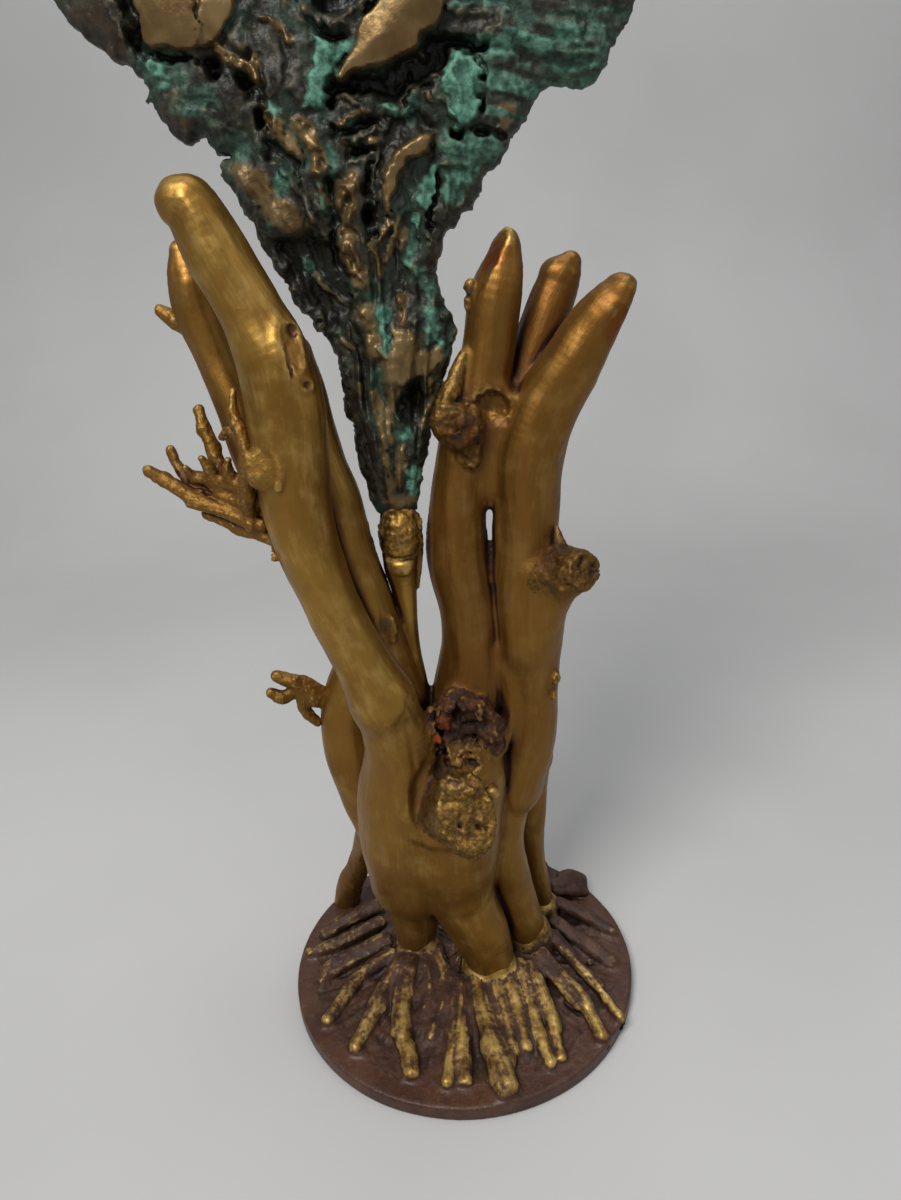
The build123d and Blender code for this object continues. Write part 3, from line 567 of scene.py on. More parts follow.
def gilded(name, bark=False):
    """Gold-bronze paint over wood with amber shellac, amber-brown and umber painted shade in the recesses, dark pits
    painted as shade, and a painted highlight on the crests.
    """
    m = Mat(name)
    streak = m.noise(1.0, 4, 0.6, m.grain(420, 420, 42))
    fine = m.noise(1.0, 3, 0.6, m.grain(1500, 1500, 170))
    cloud = m.noise(26, 3, 0.55)
    patch = m.noise(75, 4, 0.6)
    speck = m.noise(900, 2, 0.6)
    ao, crest, dark, red = m.attr("ao"), m.attr("crest"), m.attr("dark"), m.attr("red")
    gold = m.mix(m.span(cloud, 0.35, 0.68), GOLD_DEEP, GOLD)
    gold = m.mix(m.span(m.add(m.mul(streak, 0.35), m.mul(patch, 0.7)), 0.48, 0.72, 0, 0.55), gold, GOLD_LIGHT)
    worn = m.span(m.add(m.mul(fine, 0.5), m.mul(streak, 0.6)), 0.46, 0.28, 0, 0.45)
    gold = m.mix(worn, gold, AMBER)
    # amber shellac where the gold runs thin; the amber attribute also carries painted shade on the fingers, the
    # right-hand limbs and the sides that face away from the front
    tint = m.mul(m.attr("amber"), m.span(m.add(m.mul(cloud, 0.9), m.add(m.mul(patch, 0.35), m.mul(streak, 0.25))), 0.5, 0.9, 0.62, 1))
    gold = m.mix(tint, gold, AMBER)
    # painted shade: amber-brown in hollows and creases, from the openness attribute
    hollow_shade = m.span(m.add(ao, m.mul(m.add(patch, -0.5), 0.45)), 0.86, 0.46, 0, 1)
    col = m.mix(m.mul(hollow_shade, 0.85), gold, AMBER)
    # painted shade: near-black umber deep in the cracks
    deep_shade = m.span(m.add(ao, m.mul(m.add(streak, -0.5), 0.25)), 0.62, 0.24, 0, 1)
    col = m.mix(deep_shade, col, UMBER)
    # painted highlight: lighter gold on the crests
    crest_highlight = m.span(m.add(crest, m.mul(m.add(patch, -0.5), 0.3)), 0.22, 0.6, 0, 0.22 if bark else 0.5)
    col = m.mix(crest_highlight, col, GOLD_LIGHT)
    col = m.mix(m.mul(red, m.span(patch, 0.3, 0.6, 0.55, 1)), col, (0.17, 0.035, 0.008))
    # painted shade: near black over the dark spots in the dents and holes
    pit = m.mul(dark, m.span(patch, 0.25, 0.65, 0.75, 1))
    if bark:
        col = m.mix(m.span(m.noise(520, 4, 0.65), 0.36, 0.66, 0.75, 0.15), col, (0.040, 0.024, 0.009))
        pit = m.math("MAXIMUM", pit, m.span(m.add(m.noise(300, 3, 0.6), m.mul(crest, 0.3)), 0.46, 0.26, 0, 0.75))
    col = m.mix(m.mul(m.attr("bark"), m.span(patch, 0.3, 0.7, 0.15, 0.6)), col, m.mix(patch, UMBER, AMBER))
    col = m.mix(pit, col, (0.016, 0.007, 0.003))
    metal = m.mul(m.lerp(hollow_shade, 0.86, 0.45), m.math("SUBTRACT", 1.0, m.mul(pit, 0.9)))
    rough = m.add(m.lerp(hollow_shade, 0.43, 0.5), m.mul(m.add(patch, -0.5), 0.26))
    rough = m.add(rough, m.mul(m.attr("amber"), 0.05))
    rough = m.add(rough, m.mul(m.add(speck, -0.5), 0.12))
    rough = m.add(rough, m.add(m.mul(pit, 0.25), m.mul(m.attr("bark"), 0.16)), True)
    n = m.bump(streak, 0.32, 0.0006)
    n = m.bump(fine, 0.22, 0.00022, n)
    n = m.bump(m.noise(420, 4, 0.65), m.lerp(m.math("MAXIMUM", m.attr("bark"), 1.0 if bark else 0.0), 0.12, 0.9), 0.0007, n)
    n = m.bump(speck, 0.22, 0.00012, n)
    return m.done(Base_Color=col, Metallic=metal, Roughness=rough, Normal=n, Coat_Weight=0.05, Coat_Roughness=0.36, Specular_IOR_Level=0.35)


def filler(name):
    """Bright gold paint over lumpy glue."""
    m = Mat(name)
    ao, crest = m.attr("ao"), m.attr("crest")
    a, b = m.noise(160, 4, 0.6), m.noise(620, 3, 0.6)
    col = m.mix(m.span(m.add(m.mul(a, 0.6), m.mul(b, 0.4)), 0.38, 0.64), (0.10, 0.052, 0.014), GOLD)
    # painted shade: umber in the hollows from the openness attribute, near black over the dark spots
    col = m.mix(m.span(m.add(ao, m.mul(m.add(a, -0.5), 0.4)), 0.75, 0.3), col, UMBER)
    col = m.mix(m.mul(m.attr("dark"), 0.9), col, (0.02, 0.010, 0.004))
    n = m.bump(a, 0.4, 0.0009)
    n = m.bump(b, 0.5, 0.0004, n)
    return m.done(Base_Color=col, Metallic=0.75, Roughness=m.add(0.36, m.mul(b, 0.25)), Normal=n)


def crust(name):
    """Broken dark wood with gold dust on its high points and red splinters."""
    m = Mat(name)
    ao, crest, dark, red = m.attr("ao"), m.attr("crest"), m.attr("dark"), m.attr("red")
    a, b = m.noise(240, 4, 0.65), m.noise(800, 3, 0.6)
    col = m.mix(m.span(a, 0.35, 0.65), (0.016, 0.006, 0.0025), (0.075, 0.027, 0.008))
    gild = m.span(m.add(m.add(m.mul(crest, 0.65), m.mul(ao, 0.35)), m.mul(m.add(a, -0.5), 1.2)), 0.66, 1.1, 0, 0.7)
    gild = m.mul(gild, m.math("SUBTRACT", 1.0, dark))
    col = m.mix(gild, col, GOLD)
    col = m.mix(m.mul(red, m.span(b, 0.3, 0.6, 0.6, 1)), col, (0.26, 0.05, 0.008))
    # painted shade: near black over the dark spots in the burl's holes
    col = m.mix(m.mul(dark, 0.95), col, (0.008, 0.004, 0.002))
    n = m.bump(a, 0.7, 0.0012)
    n = m.bump(b, 0.6, 0.0005, n)
    return m.done(Base_Color=col, Metallic=m.mul(gild, 0.8), Roughness=m.lerp(gild, 0.66, 0.42), Normal=n, Specular_IOR_Level=0.22)


def crown_finish(name, plate=False):
    """Burnt bark: black and brown, rubbed bronze high points, grey, and turquoise verdigris; painted shade blackens the
    crevices, and painted shadow lies under the plates.
    """
    m = Mat(name)
    ao, crest = m.attr("ao"), m.attr("crest")
    t, g, b, k, r = (m.attr(c) for c in ("cm_t", "cm_g", "cm_b", "cm_k", "cm_r"))
    big, mid, fine = m.noise(60, 3, 0.55), m.noise(230, 4, 0.6), m.noise(800, 3, 0.6)
    col = m.mix(m.span(mid, 0.35, 0.7), (0.006, 0.0065, 0.004), (0.030, 0.026, 0.013))
    green = m.span(m.add(big, m.mul(mid, 0.4)), 0.66, 0.86, 0, 0.55)
    col = m.mix(green, col, (0.018, 0.052, 0.033))
    grey = m.mul(g, m.span(m.add(m.mul(mid, 0.9), m.mul(crest, 0.6)), 0.35, 0.85, 0.05, 0.9))
    col = m.mix(grey, col, m.mix(big, (0.044, 0.036, 0.028), (0.078, 0.074, 0.056)))
    col = m.mix(m.mul(r, 0.9), col, m.mix(m.span(mid, 0.3, 0.7), (0.016, 0.009, 0.005), (0.044, 0.026, 0.013)))
    # rubbed high points
    rub = m.span(m.add(m.mul(crest, 0.8), m.mul(m.add(mid, -0.5), 1.0)), 0.34, 0.78, 0, 0.75)
    rub = m.mul(rub, m.math("SUBTRACT", 1.0, m.mul(t, 0.85)))
    rub = m.mul(rub, m.math("SUBTRACT", 1.0, m.mul(r, 0.7)))
    worn = m.mul(b, m.span(m.add(m.add(mid, m.mul(ao, 0.35)), m.mul(crest, 0.25)), 0.36 if plate else 0.50, 0.62 if plate else 0.80, 0.25, 1))
    bronze = m.math("MAXIMUM", rub, worn)
    col = m.mix(bronze, col, m.mix(m.span(big, 0.35, 0.7), (0.120, 0.072, 0.026), (0.25, 0.168, 0.072)))
    tq = m.mul(t, m.span(m.add(m.mul(mid, 0.9), m.mul(fine, 0.35)), 0.38, 0.66, 0.45, 1.0))
    col = m.mix(tq, col, m.mix(m.span(m.add(mid, m.mul(crest, 0.3)), 0.35, 0.75), (0.022, 0.078, 0.052), (0.115, 0.275, 0.195)))
    # black marks and painted shadow from the k channel, and painted shade in the crevices from the openness attribute
    black = m.math("MAXIMUM", m.mul(k, 0.96), m.span(m.add(ao, m.mul(m.add(mid, -0.5), 0.3)), 0.42, 0.16, 0, 0.9))
    col = m.mix(black, col, (0.006, 0.0055, 0.0035))
    bronze = m.mul(bronze, m.math("SUBTRACT", 1.0, m.math("MAXIMUM", black, tq)))
    rough = m.lerp(tq, m.lerp(bronze, 0.48, 0.42), 0.75)
    rough = m.add(m.lerp(black, rough, 0.40), m.mul(m.add(fine, -0.5), 0.2))
    calm = 0.35 if plate else m.lerp(m.math("MAXIMUM", m.mul(b, 0.75), m.mul(r, 0.4)), 1.0, 0.3)
    n = m.bump(mid, m.mul(calm, 0.55), 0.0012)
    n = m.bump(fine, m.mul(calm, 0.6), 0.0005, n)
    n = m.bump(m.noise(2200, 2, 0.6), 0.25, 0.0001, n)
    return m.done(Base_Color=col, Metallic=m.mul(bronze, 0.7), Roughness=rough, Normal=n, Specular_IOR_Level=0.3)


def clay(name, gold=1.0):
    """Red-brown painted clay, dry-brushed with gold on its crests."""
    m = Mat(name)
    ao, crest, g = m.attr("ao"), m.attr("crest"), m.attr("gold")
    a, b, c = m.noise(120, 4, 0.6), m.noise(420, 4, 0.65), m.noise(1300, 2, 0.6)
    brushed = m.noise(1.0, 4, 0.6, m.grain(360, 360, 48))
    col = m.mix(m.span(a, 0.35, 0.65), (0.026, 0.009, 0.0045), (0.060, 0.024, 0.0115))
    dust = m.span(m.add(b, m.mul(c, 0.3)), 0.68, 0.9, 0, 0.3)
    col = m.mix(dust, col, (0.10, 0.062, 0.036))
    brush = m.add(m.add(m.mul(g, 0.55 * gold), m.mul(crest, 0.75)), m.mul(m.add(m.add(m.mul(b, 0.7), m.add(m.mul(a, 0.9), m.mul(brushed, 0.4))), -1.0), 0.55))
    gild = m.span(brush, 0.34, 0.74, 0, 0.95)
    col = m.mix(gild, col, m.mix(m.span(a, 0.35, 0.65), GOLD_DEEP, GOLD_LIGHT))
    # painted shade: near black in the hollows between the roots, from the openness attribute
    shade = m.span(m.add(ao, m.mul(m.add(a, -0.5), 0.3)), 0.62, 0.2, 0, 0.85)
    col = m.mix(shade, col, (0.012, 0.005, 0.003))
    gild = m.mul(gild, m.math("SUBTRACT", 1.0, shade))
    n = m.bump(a, 0.35, 0.0014)
    n = m.bump(brushed, 0.4, 0.0006, n)
    n = m.bump(b, 0.45, 0.0006, n)
    n = m.bump(c, 0.4, 0.00025, n)
    return m.done(Base_Color=col, Metallic=m.mul(gild, 0.7), Roughness=m.add(m.lerp(gild, 0.58, 0.42), m.mul(m.add(b, -0.5), 0.2)), Normal=n, Specular_IOR_Level=0.35)


def disc_paint(name):
    """Thick dark red-brown paint over clay, with a little gold dust."""
    m = Mat(name)
    a, b, c = m.noise(45, 4, 0.6), m.noise(330, 4, 0.65), m.noise(1100, 2, 0.6)
    col = m.mix(m.span(a, 0.3, 0.7), (0.038, 0.0135, 0.0070), (0.068, 0.028, 0.0150))
    col = m.mix(m.span(m.add(b, m.mul(a, 0.2)), 0.62, 0.8, 0, 0.45), col, (0.088, 0.050, 0.028))
    col = m.mix(m.span(b, 0.42, 0.28, 0, 0.6), col, (0.022, 0.009, 0.006))
    gold = m.mul(m.attr("gold"), m.span(m.add(b, m.mul(c, 0.4)), 0.66, 0.86, 0, 0.8))
    col = m.mix(gold, col, GOLD_DEEP)
    n = m.bump(b, 0.6, 0.0008)
    n = m.bump(c, 0.45, 0.00025, n)
    return m.done(Base_Color=col, Metallic=m.mul(gold, 0.7), Roughness=m.add(0.42, m.mul(m.add(b, -0.5), 0.35)), Normal=n, Specular_IOR_Level=0.35)


def plain_wood(name):
    m = Mat(name)
    a = m.noise(1.0, 4, 0.6, m.stretch(900, 900, 90))
    col = m.mix(m.span(a, 0.3, 0.7), (0.30, 0.17, 0.07), (0.50, 0.33, 0.16))
    return m.done(Base_Color=col, Roughness=m.add(0.5, m.mul(a, 0.2)), Normal=m.bump(a, 0.3, 0.0003))


def steel(name):
    m = Mat(name)
    a = m.noise(1.0, 3, 0.6, m.stretch(1200, 1200, 200))
    col = m.mix(a, (0.36, 0.35, 0.34), (0.56, 0.55, 0.54))
    return m.done(Base_Color=col, Metallic=1.0, Roughness=m.add(0.22, m.mul(a, 0.2)), Normal=m.bump(a, 0.12, 0.0002))


GOLD = (0.325, 0.185, 0.036)
GOLD_LIGHT = (0.52, 0.35, 0.105)
GOLD_DEEP = (0.215, 0.108, 0.018)
AMBER = (0.125, 0.045, 0.007)
UMBER = (0.024, 0.008, 0.003)

GILDED = gilded("Gilded_wood")
BARK = gilded("Gilded_bark", bark=True)
FILLER = filler("Gold_filler")
CRUST = crust("Dark_crust")
CROWN_MAT = crown_finish("Verdigris_crust")
PLATE_MAT = crown_finish("Bronzed_bark", plate=True)
CLAY = clay("Clay_roots")
COLLAR = clay("Gilded_clay", gold=1.7)
DISC = disc_paint("Brown_disc")
WOOD = plain_wood("Bare_wood")
STEEL = steel("Steel")


# Tables in mm: limbs and clay ridges are x, y, z, radius.
LIMBS = {
    "left_main_limb": [(-89, -22, 390.9, 8.4), (-84.8, -22, 386.6, 10.2), (-77.8, -22, 371.6, 12.2), (-69.7, -22, 354.2, 12.1), (-62.7, -22, 336, 13.8), (-59.6, -22, 317.3, 15.3), (-60.3, -22, 297.8, 15.3), (-59.6, -22, 275.3, 14), (-56.3, -22, 255.8, 12.7), (-50.2, -22, 233.1, 11.4), (-41.2, -22, 209, 11.6), (-31.5, -20, 182.5, 13.8)],
    "left_rear_limb": [(-98.8, 12, 370.7, 5.9), (-97.4, 12, 359.5, 8.8), (-96.4, 12, 348.1, 9.3), (-91.4, 10, 332.4, 8.2), (-85.1, 6, 312.6, 8.3), (-79.5, 2, 292.4, 8.4), (-72.9, -2, 271.6, 8.5), (-66.2, -6, 250.2, 7.3)],
    "inner_left_limb": [(-56.2, -2, 332, 5.5), (-55, -2, 317, 8.1), (-51.8, -2, 292.3, 10.3), (-46.9, -1, 270.1, 11.5), (-42.6, 0, 246.8, 10.9), (-36.1, 0, 222.6, 10.7), (-29.7, 2, 198.7, 10.1), (-23, 4, 173.5, 9.5), (-16.9, 8, 145.7, 10.8)],
    "left_low_lobe": [(-37.9, 26, 196.2, 6.8), (-45.9, 25, 179.6, 10.3), (-51.6, 24, 157.7, 13.5), (-51.7, 22, 135.5, 14.8), (-47.8, 20, 112.2, 15), (-39.6, 16, 92.6, 15.7), (-31.4, 14, 71, 15.9)],
    "central_stem": [(-20.3, 6, 242.1, 6.7), (-19.8, 6, 235.9, 8.1), (-19, 6, 219.2, 6.4), (-18.3, 6, 198.8, 6), (-17.1, 7, 177, 6.2), (-14.7, 10, 150, 7.8), (-12.1, 12, 122.1, 10.1)],
    "inner_right_limb": [(28.4, 6, 368.3, 4.3), (27.6, 6, 363.2, 6.6), (25.9, 6, 357, 9), (23.4, 6, 347.7, 10.7), (20.7, 6, 330.5, 10.9), (16.5, 6, 310.5, 11.2), (10.2, 6, 291.9, 11.4), (6.6, 6, 274.5, 11.6), (5.1, 6, 256.5, 13.1), (5.3, 6, 237.6, 14.7), (8.7, 6, 215.4, 13.7), (9.4, 7, 191.8, 14.5), (7.3, 8, 167.1, 17.3), (3.6, 10, 140.5, 18.8), (0.7, 10, 113.8, 19.3)],
    "middle_finger": [(55, 20.5, 359.8, 4.9), (50.7, 20.5, 352, 8.6), (44.6, 19.4, 338, 9.9), (38.5, 17, 322.5, 9.6), (33.5, 13.5, 308, 8.8), (30, 9.5, 294.4, 8.4)],
    "outer_right_limb": [(69.9, -2, 351.5, 4.6), (66.6, -2, 346.1, 7.8), (61.1, -1, 335.6, 11.1), (52.8, 0, 321, 12.5), (43.4, 2, 304.8, 13.6), (36.9, 3, 287.2, 15.2), (35.6, 3, 265.3, 13.8), (35.5, 3, 244.6, 13.2), (35.5, 4, 222.5, 15.8), (36.4, 5, 196.8, 15.8), (37, 6, 169.5, 13.8), (34.6, 8, 140.3, 14.8), (28.4, 8, 113.8, 15.1)],
    "left_leg": [(-28.5, 4, 71.3, 16.6), (-27.6, 2, 57.8, 14.7), (-25.4, 1, 40.3, 12.7), (-25.2, 1, 24.9, 10.8), (-25.2, 1, 13.5, 9.8), (-25.2, 1, 2, 10)],
    "centre_leg": [(-5.8, -7, 81.9, 18.1), (-2.8, -9, 70.7, 16.2), (2.3, -11, 54.7, 15.4), (9.4, -13, 38.1, 14.5), (13.2, -14, 23.1, 12.6), (14.1, -14, 13.9, 11.6), (14.6, -14, 2, 11.4)],
    "right_leg": [(24.2, 6, 112.4, 13.1), (22.2, 4, 86.1, 11.3), (26, 4, 56.5, 11.6), (31.7, 4, 35.8, 11.3), (35.9, 4, 21.5, 10.3), (37.6, 4, 2, 9.2)],
    "far_right_leg": [(40.2, 24, 123.6, 9.3), (38.8, 27, 90, 8.6), (38.4, 29, 55, 8.3), (43, 30, 27, 7.9), (45.3, 30, 14.5, 7.4), (46.8, 30, 2, 6.9)],
    "back_left_root": [(-40, 16, 96, 7), (-46.1, 22, 79.8, 7), (-51, 28, 63.2, 7), (-57.7, 36, 42.9, 6.6), (-64.3, 43, 24.1, 7.5), (-68.5, 48.5, 5, 7.1)],
    "left_rear_stub": [(-111.5, 14, 348.1, 2), (-107.2, 13, 345.3, 2.8), (-101.1, 12, 341.2, 3.2)],
    "lower_twig": [(-85.5, 20, 175.2, 2.9), (-79.5, 20, 172.2, 3.4), (-73, 21, 169.6, 3.9), (-67.8, 22, 164.3, 4.5), (-60.5, 23, 157.6, 5)],
    "lower_twig_fork": [(-88.9, 17, 167.6, 2.4), (-84.5, 18, 164.5, 3), (-79.3, 20, 165.4, 2.5), (-75.9, 20, 169.2, 2.5)],
    "lower_twig_fork2": [(-68.1, 20, 148.2, 2), (-72.1, 20, 153, 2.5), (-74.4, 20, 159.5, 2.5), (-73.2, 20, 166.8, 2.5)],
    "twig_upper": [(-99, 2, 309.9, 2.1), (-97.7, 0, 304.6, 2.3), (-95.3, -2, 297.9, 2.5), (-93.4, -4, 291.2, 2.9), (-91.4, -6, 284.9, 2.9)],
    "twig_middle": [(-112, -2, 294.4, 1.9), (-110.4, -3, 289.5, 2.1), (-106.3, -5, 283.5, 2.5), (-102, -7, 278.7, 2.9), (-96.9, -9, 276.6, 2.9)],
    "twig_lower": [(-119.8, -10, 288.5, 2.4), (-115.8, -10, 285.4, 2.7), (-110, -11, 282, 2.9), (-103.4, -12, 277.8, 2.9), (-97, -13, 274.8, 2.9)],
    "twig_base": [(-100.1, -8, 284.1, 2.9), (-90.3, -12, 283.6, 3.3), (-80.7, -16, 282.3, 3.6), (-73.3, -19, 278.7, 3.6)],
    "twig_band_upper": [(-103.7, -14, 275.4, 2), (-95.9, -15, 274.1, 2.5), (-88.4, -17, 271.9, 2.9), (-81.1, -19, 268.8, 2.9), (-74.6, -20, 267.2, 2.8)],
    "twig_band_lower": [(-98.7, -11, 269.5, 1.7), (-90.8, -13, 266.8, 2.1), (-84.2, -15, 263.7, 2.5), (-77.3, -17, 262.3, 2.5), (-71.5, -19, 259.7, 2.1)],
    "vine_strand": [(-81.6, -12, 316.9, 1.6), (-82, -13, 310.1, 1.8), (-79.7, -14, 304.6, 1.8), (-78.9, -15, 297.6, 1.8), (-79.8, -16, 288.9, 1.8), (-80.3, -18, 279.1, 2)],
    "knot_stub_right": [(39.8, -2, 241.1, 11.4), (45.2, -8, 240.4, 10.4), (50.6, -13, 238.5, 8.1), (54.3, -17, 237.2, 7.2)],
    "front_stub": [(-8.2, -18, 122.3, 13.3), (-2.6, -28, 126.1, 13.4), (2.4, -38, 130.2, 13.5), (4.9, -44, 133, 12.9)],
    "resin_link": [(8.1, 0, 335.3, 2.4), (4.1, -4, 326, 2.4), (1.3, -7, 314.9, 2.4), (-1.2, -8, 304.8, 3.2), (4.3, -9, 300.7, 3.2)],
    "body_left_lobe": [(-31.5, -20, 182.5, 13.8), (-25.4, -14, 154.7, 16.7), (-26.4, -8, 125.1, 21.3), (-25.4, -4, 94.9, 24), (-25, 0, 66, 21.8)],
    "body_front_lobe": [(7.4, -2, 150.9, 16.2), (2.8, -6, 131, 21.2), (-2.8, -8, 109.1, 24.5), (-3.6, -8, 87.7, 23), (-1.4, -8, 65.2, 18.4)],
    "stem_collar": [(-19.8, 5, 264.3, 7.4), (-20.6, 5, 258, 9.6), (-20.6, 5, 251, 9.7), (-20.2, 6, 244, 8.4)],
}
RIDGES = {
    "root_back_a": [(40, 44, 16.5, 3.8), (46, 58, 13.5, 3.8), (49, 70, 10.5, 3.2)],
    "root_back_b": [(22, 42, 16, 3.8), (24, 60, 13.5, 4), (21, 77, 10.5, 3.4)],
    "root_back_c": [(4, 40, 16, 3.6), (1, 58, 13.5, 3.8), (3, 78, 10.5, 3.2)],
    "root_back_d": [(-14, 38, 16, 3.8), (-19, 56, 13.5, 3.8), (-27, 73, 10.5, 3.2)],
    "root_back_e": [(-30, 34, 16, 3.6), (-38, 50, 13.5, 3.6), (-47, 66, 10.5, 3)],
    "root_back_lump": [(60.5, 50.5, 15.5, 4.5), (66.8, 52.6, 14, 5.6), (71.5, 54, 11.5, 4.2)],
    "root_back_right": [(53.7, 43.1, 17, 4.1), (62.8, 45.7, 15, 4.7), (70.3, 48, 12.5, 4.7)],
    "root_front_a": [(-27.9, -12.6, 19, 4.7), (-30.8, -28.9, 15.5, 4.1), (-31.3, -49.8, 13, 3.9), (-26.5, -71.4, 10.5, 3.8)],
    "root_front_b": [(-21.1, -9.2, 18, 3.2), (-18.5, -21.8, 15.5, 2.9), (-19.1, -33.5, 13, 2.8), (-23.1, -45.7, 10.5, 2.5)],
    "root_front_c": [(-14.2, -2.6, 18, 3.2), (-10.7, -20.9, 15.5, 3.1), (-11, -37.6, 13, 3), (-17.1, -51.9, 10.5, 2.7)],
    "root_front_d": [(-4, -21.7, 16, 3.1), (-4.4, -38.4, 13.5, 3.5), (-7.3, -55.9, 12, 2.9), (-9.6, -76.4, 10.5, 2.8)],
    "root_front_e": [(-3.4, -38.5, 13.5, 3), (-1.6, -58.4, 12, 2.9), (-1.3, -76.8, 10.5, 2.8)],
    "root_front_f": [(5.9, -22.1, 18, 4.1), (7.2, -39, 15.5, 4.5), (10.2, -55.6, 14, 4.9), (14.1, -69.5, 12.5, 6.1), (17.1, -80.7, 10.5, 6)],
    "root_front_g": [(15.1, -23.6, 17, 3.6), (18.3, -37.4, 14.5, 3.5), (20.2, -51.9, 12.5, 3.4), (22.2, -62.8, 10.5, 2.9)],
    "root_front_h": [(22.1, -20.1, 17, 3.6), (25.3, -37.8, 14.5, 3.5), (27.5, -52.3, 12.5, 2.9), (28.8, -59.8, 10.5, 2.4)],
    "root_left_a": [(-48.1, 34.3, 17, 3.5), (-66.6, 26.7, 14, 3.4), (-78.1, 19.7, 11, 2.8)],
    "root_left_b": [(-46.1, 19.3, 17, 3.4), (-67.9, 9.1, 13.5, 3.3), (-83.7, 5.7, 10.5, 2.7)],
    "root_left_c": [(-42.2, 7.1, 17, 3.8), (-60.4, -1.1, 14, 3.8), (-71.8, -6.9, 12, 3.7), (-75.4, -14.1, 10.5, 3.2)],
    "root_left_d": [(-38.3, -4.8, 18, 3.7), (-52.9, -13.7, 14.5, 3.2), (-62, -25.8, 12.5, 3.1), (-70.1, -39.2, 10.5, 3)],
    "root_left_e": [(-32.2, -10, 18, 4.2), (-39.9, -21.5, 15, 4.2), (-45.5, -34.7, 13, 4.1), (-54.1, -55.8, 10.5, 3.4)],
    "root_right_a": [(28.8, -14.7, 18, 3.1), (32.8, -38.1, 14.5, 2.8), (36, -55, 12.5, 2.4), (39.2, -69.1, 10.5, 2.4)],
    "root_right_b": [(35, -16.1, 17, 3.1), (40.3, -38.5, 14.5, 2.8), (42.7, -51.9, 12.5, 2.4), (44.8, -66.1, 10.5, 2.4)],
    "root_right_c": [(42, -9.5, 19, 4.2), (50.3, -23.7, 16.5, 4.1), (59.2, -37.2, 14, 4), (65.8, -54.8, 10.5, 3.9)],
    "root_right_d": [(48.3, 3.3, 18, 3.3), (58.5, -13.3, 15, 2.9), (67.8, -27.9, 13, 2.6), (76.5, -44.7, 10.5, 2)],
    "root_right_e": [(51.6, 16.8, 17, 3.3), (64, 5.7, 14, 3.3), (79, -8.7, 10.5, 2.7)],
    "root_right_f": [(53.7, 29.2, 17, 3.4), (68.1, 22.1, 14, 3.4), (82.4, 12.7, 10.5, 2.8)],
}


# Crown: outline x, z; marks are (kind, finish, strength, height, softness, half width, points).
CROWN_OUTLINE = [(-29.5, 261.4), (-32.9, 267.9), (-34.1, 274.7), (-36.2, 281.4), (-37.5, 296.5), (-39, 302.9), (-41, 313.3), (-42.1, 324.6), (-42.3, 330.6), (-45.1, 335.4), (-51.2, 342.5), (-54.1, 345), (-59.3, 354.9), (-66.1, 369.8), (-73.7, 387.7), (-79.7, 396.2), (-78.8, 399.5), (-77.1, 401.4), (-73.6, 402.6), (-79, 403.2), (-80.9, 405.6), (-82.4, 407.9), (-88, 407.1), (-90.9, 407.6), (-94.4, 409), (-96.6, 411.4), (-98.9, 414.7), (-100.2, 417.7), (-101.2, 420.3), (-102.8, 421.9), (-101.6, 424.1), (-102.4, 427.9), (-104.9, 428.3), (-105.8, 430.8), (-108.2, 433.4), (-111.2, 434.7), (-114.6, 437.3), (-117.7, 439.2), (-121.5, 441.8), (-124.9, 445.8), (-126.8, 449.8), (-130.5, 453.4), (-136, 462), (-139, 472), (-136.5, 481), (-138, 490), (-131, 499), (-126.5, 505), (-118, 512), (-109, 515), (-101, 524), (-88, 527), (-79, 534), (-66, 535), (-57, 542), (-43, 543), (-30, 549), (-14, 547), (-4, 541), (9, 541), (20, 533), (32, 531), (41, 522), (51, 520), (58, 511), (67, 507), (71, 498), (78.5, 492), (79, 482), (83, 473), (80, 463), (79.5, 455), (75.2, 446.2), (72.6, 441.8), (71, 437.4), (68.7, 433.8), (66.6, 430.8), (65.3, 426.8), (62.6, 422.9), (60.1, 420.4), (55.4, 419.3), (45.2, 420.3), (42, 419.2), (40.2, 417.3), (38.7, 414.2), (37.3, 411), (33.6, 408.5), (31, 405.7), (29.8, 402.4), (27.6, 399.2), (25.3, 395.9), (19.9, 391.7), (19.9, 388.3), (18.7, 385.6), (16.3, 383.3), (15.5, 380.9), (11.2, 378.2), (10.4, 375.5), (8.8, 373.4), (5.7, 373.5), (4.8, 370.7), (4.3, 367.1), (2.6, 364.3), (1, 361.8), (0.8, 358.1), (2.1, 350.7), (3.9, 346.8), (5.7, 343.7), (7.6, 339), (7.8, 333.2), (5.4, 324.7), (1.8, 315.6), (-0.9, 309.6), (-2.9, 301.4), (-3.2, 295), (-5.3, 286.6), (-7.2, 282.3), (-8.3, 276.7), (-10.3, 271.4), (-11.7, 261.6), (-20, 259)]
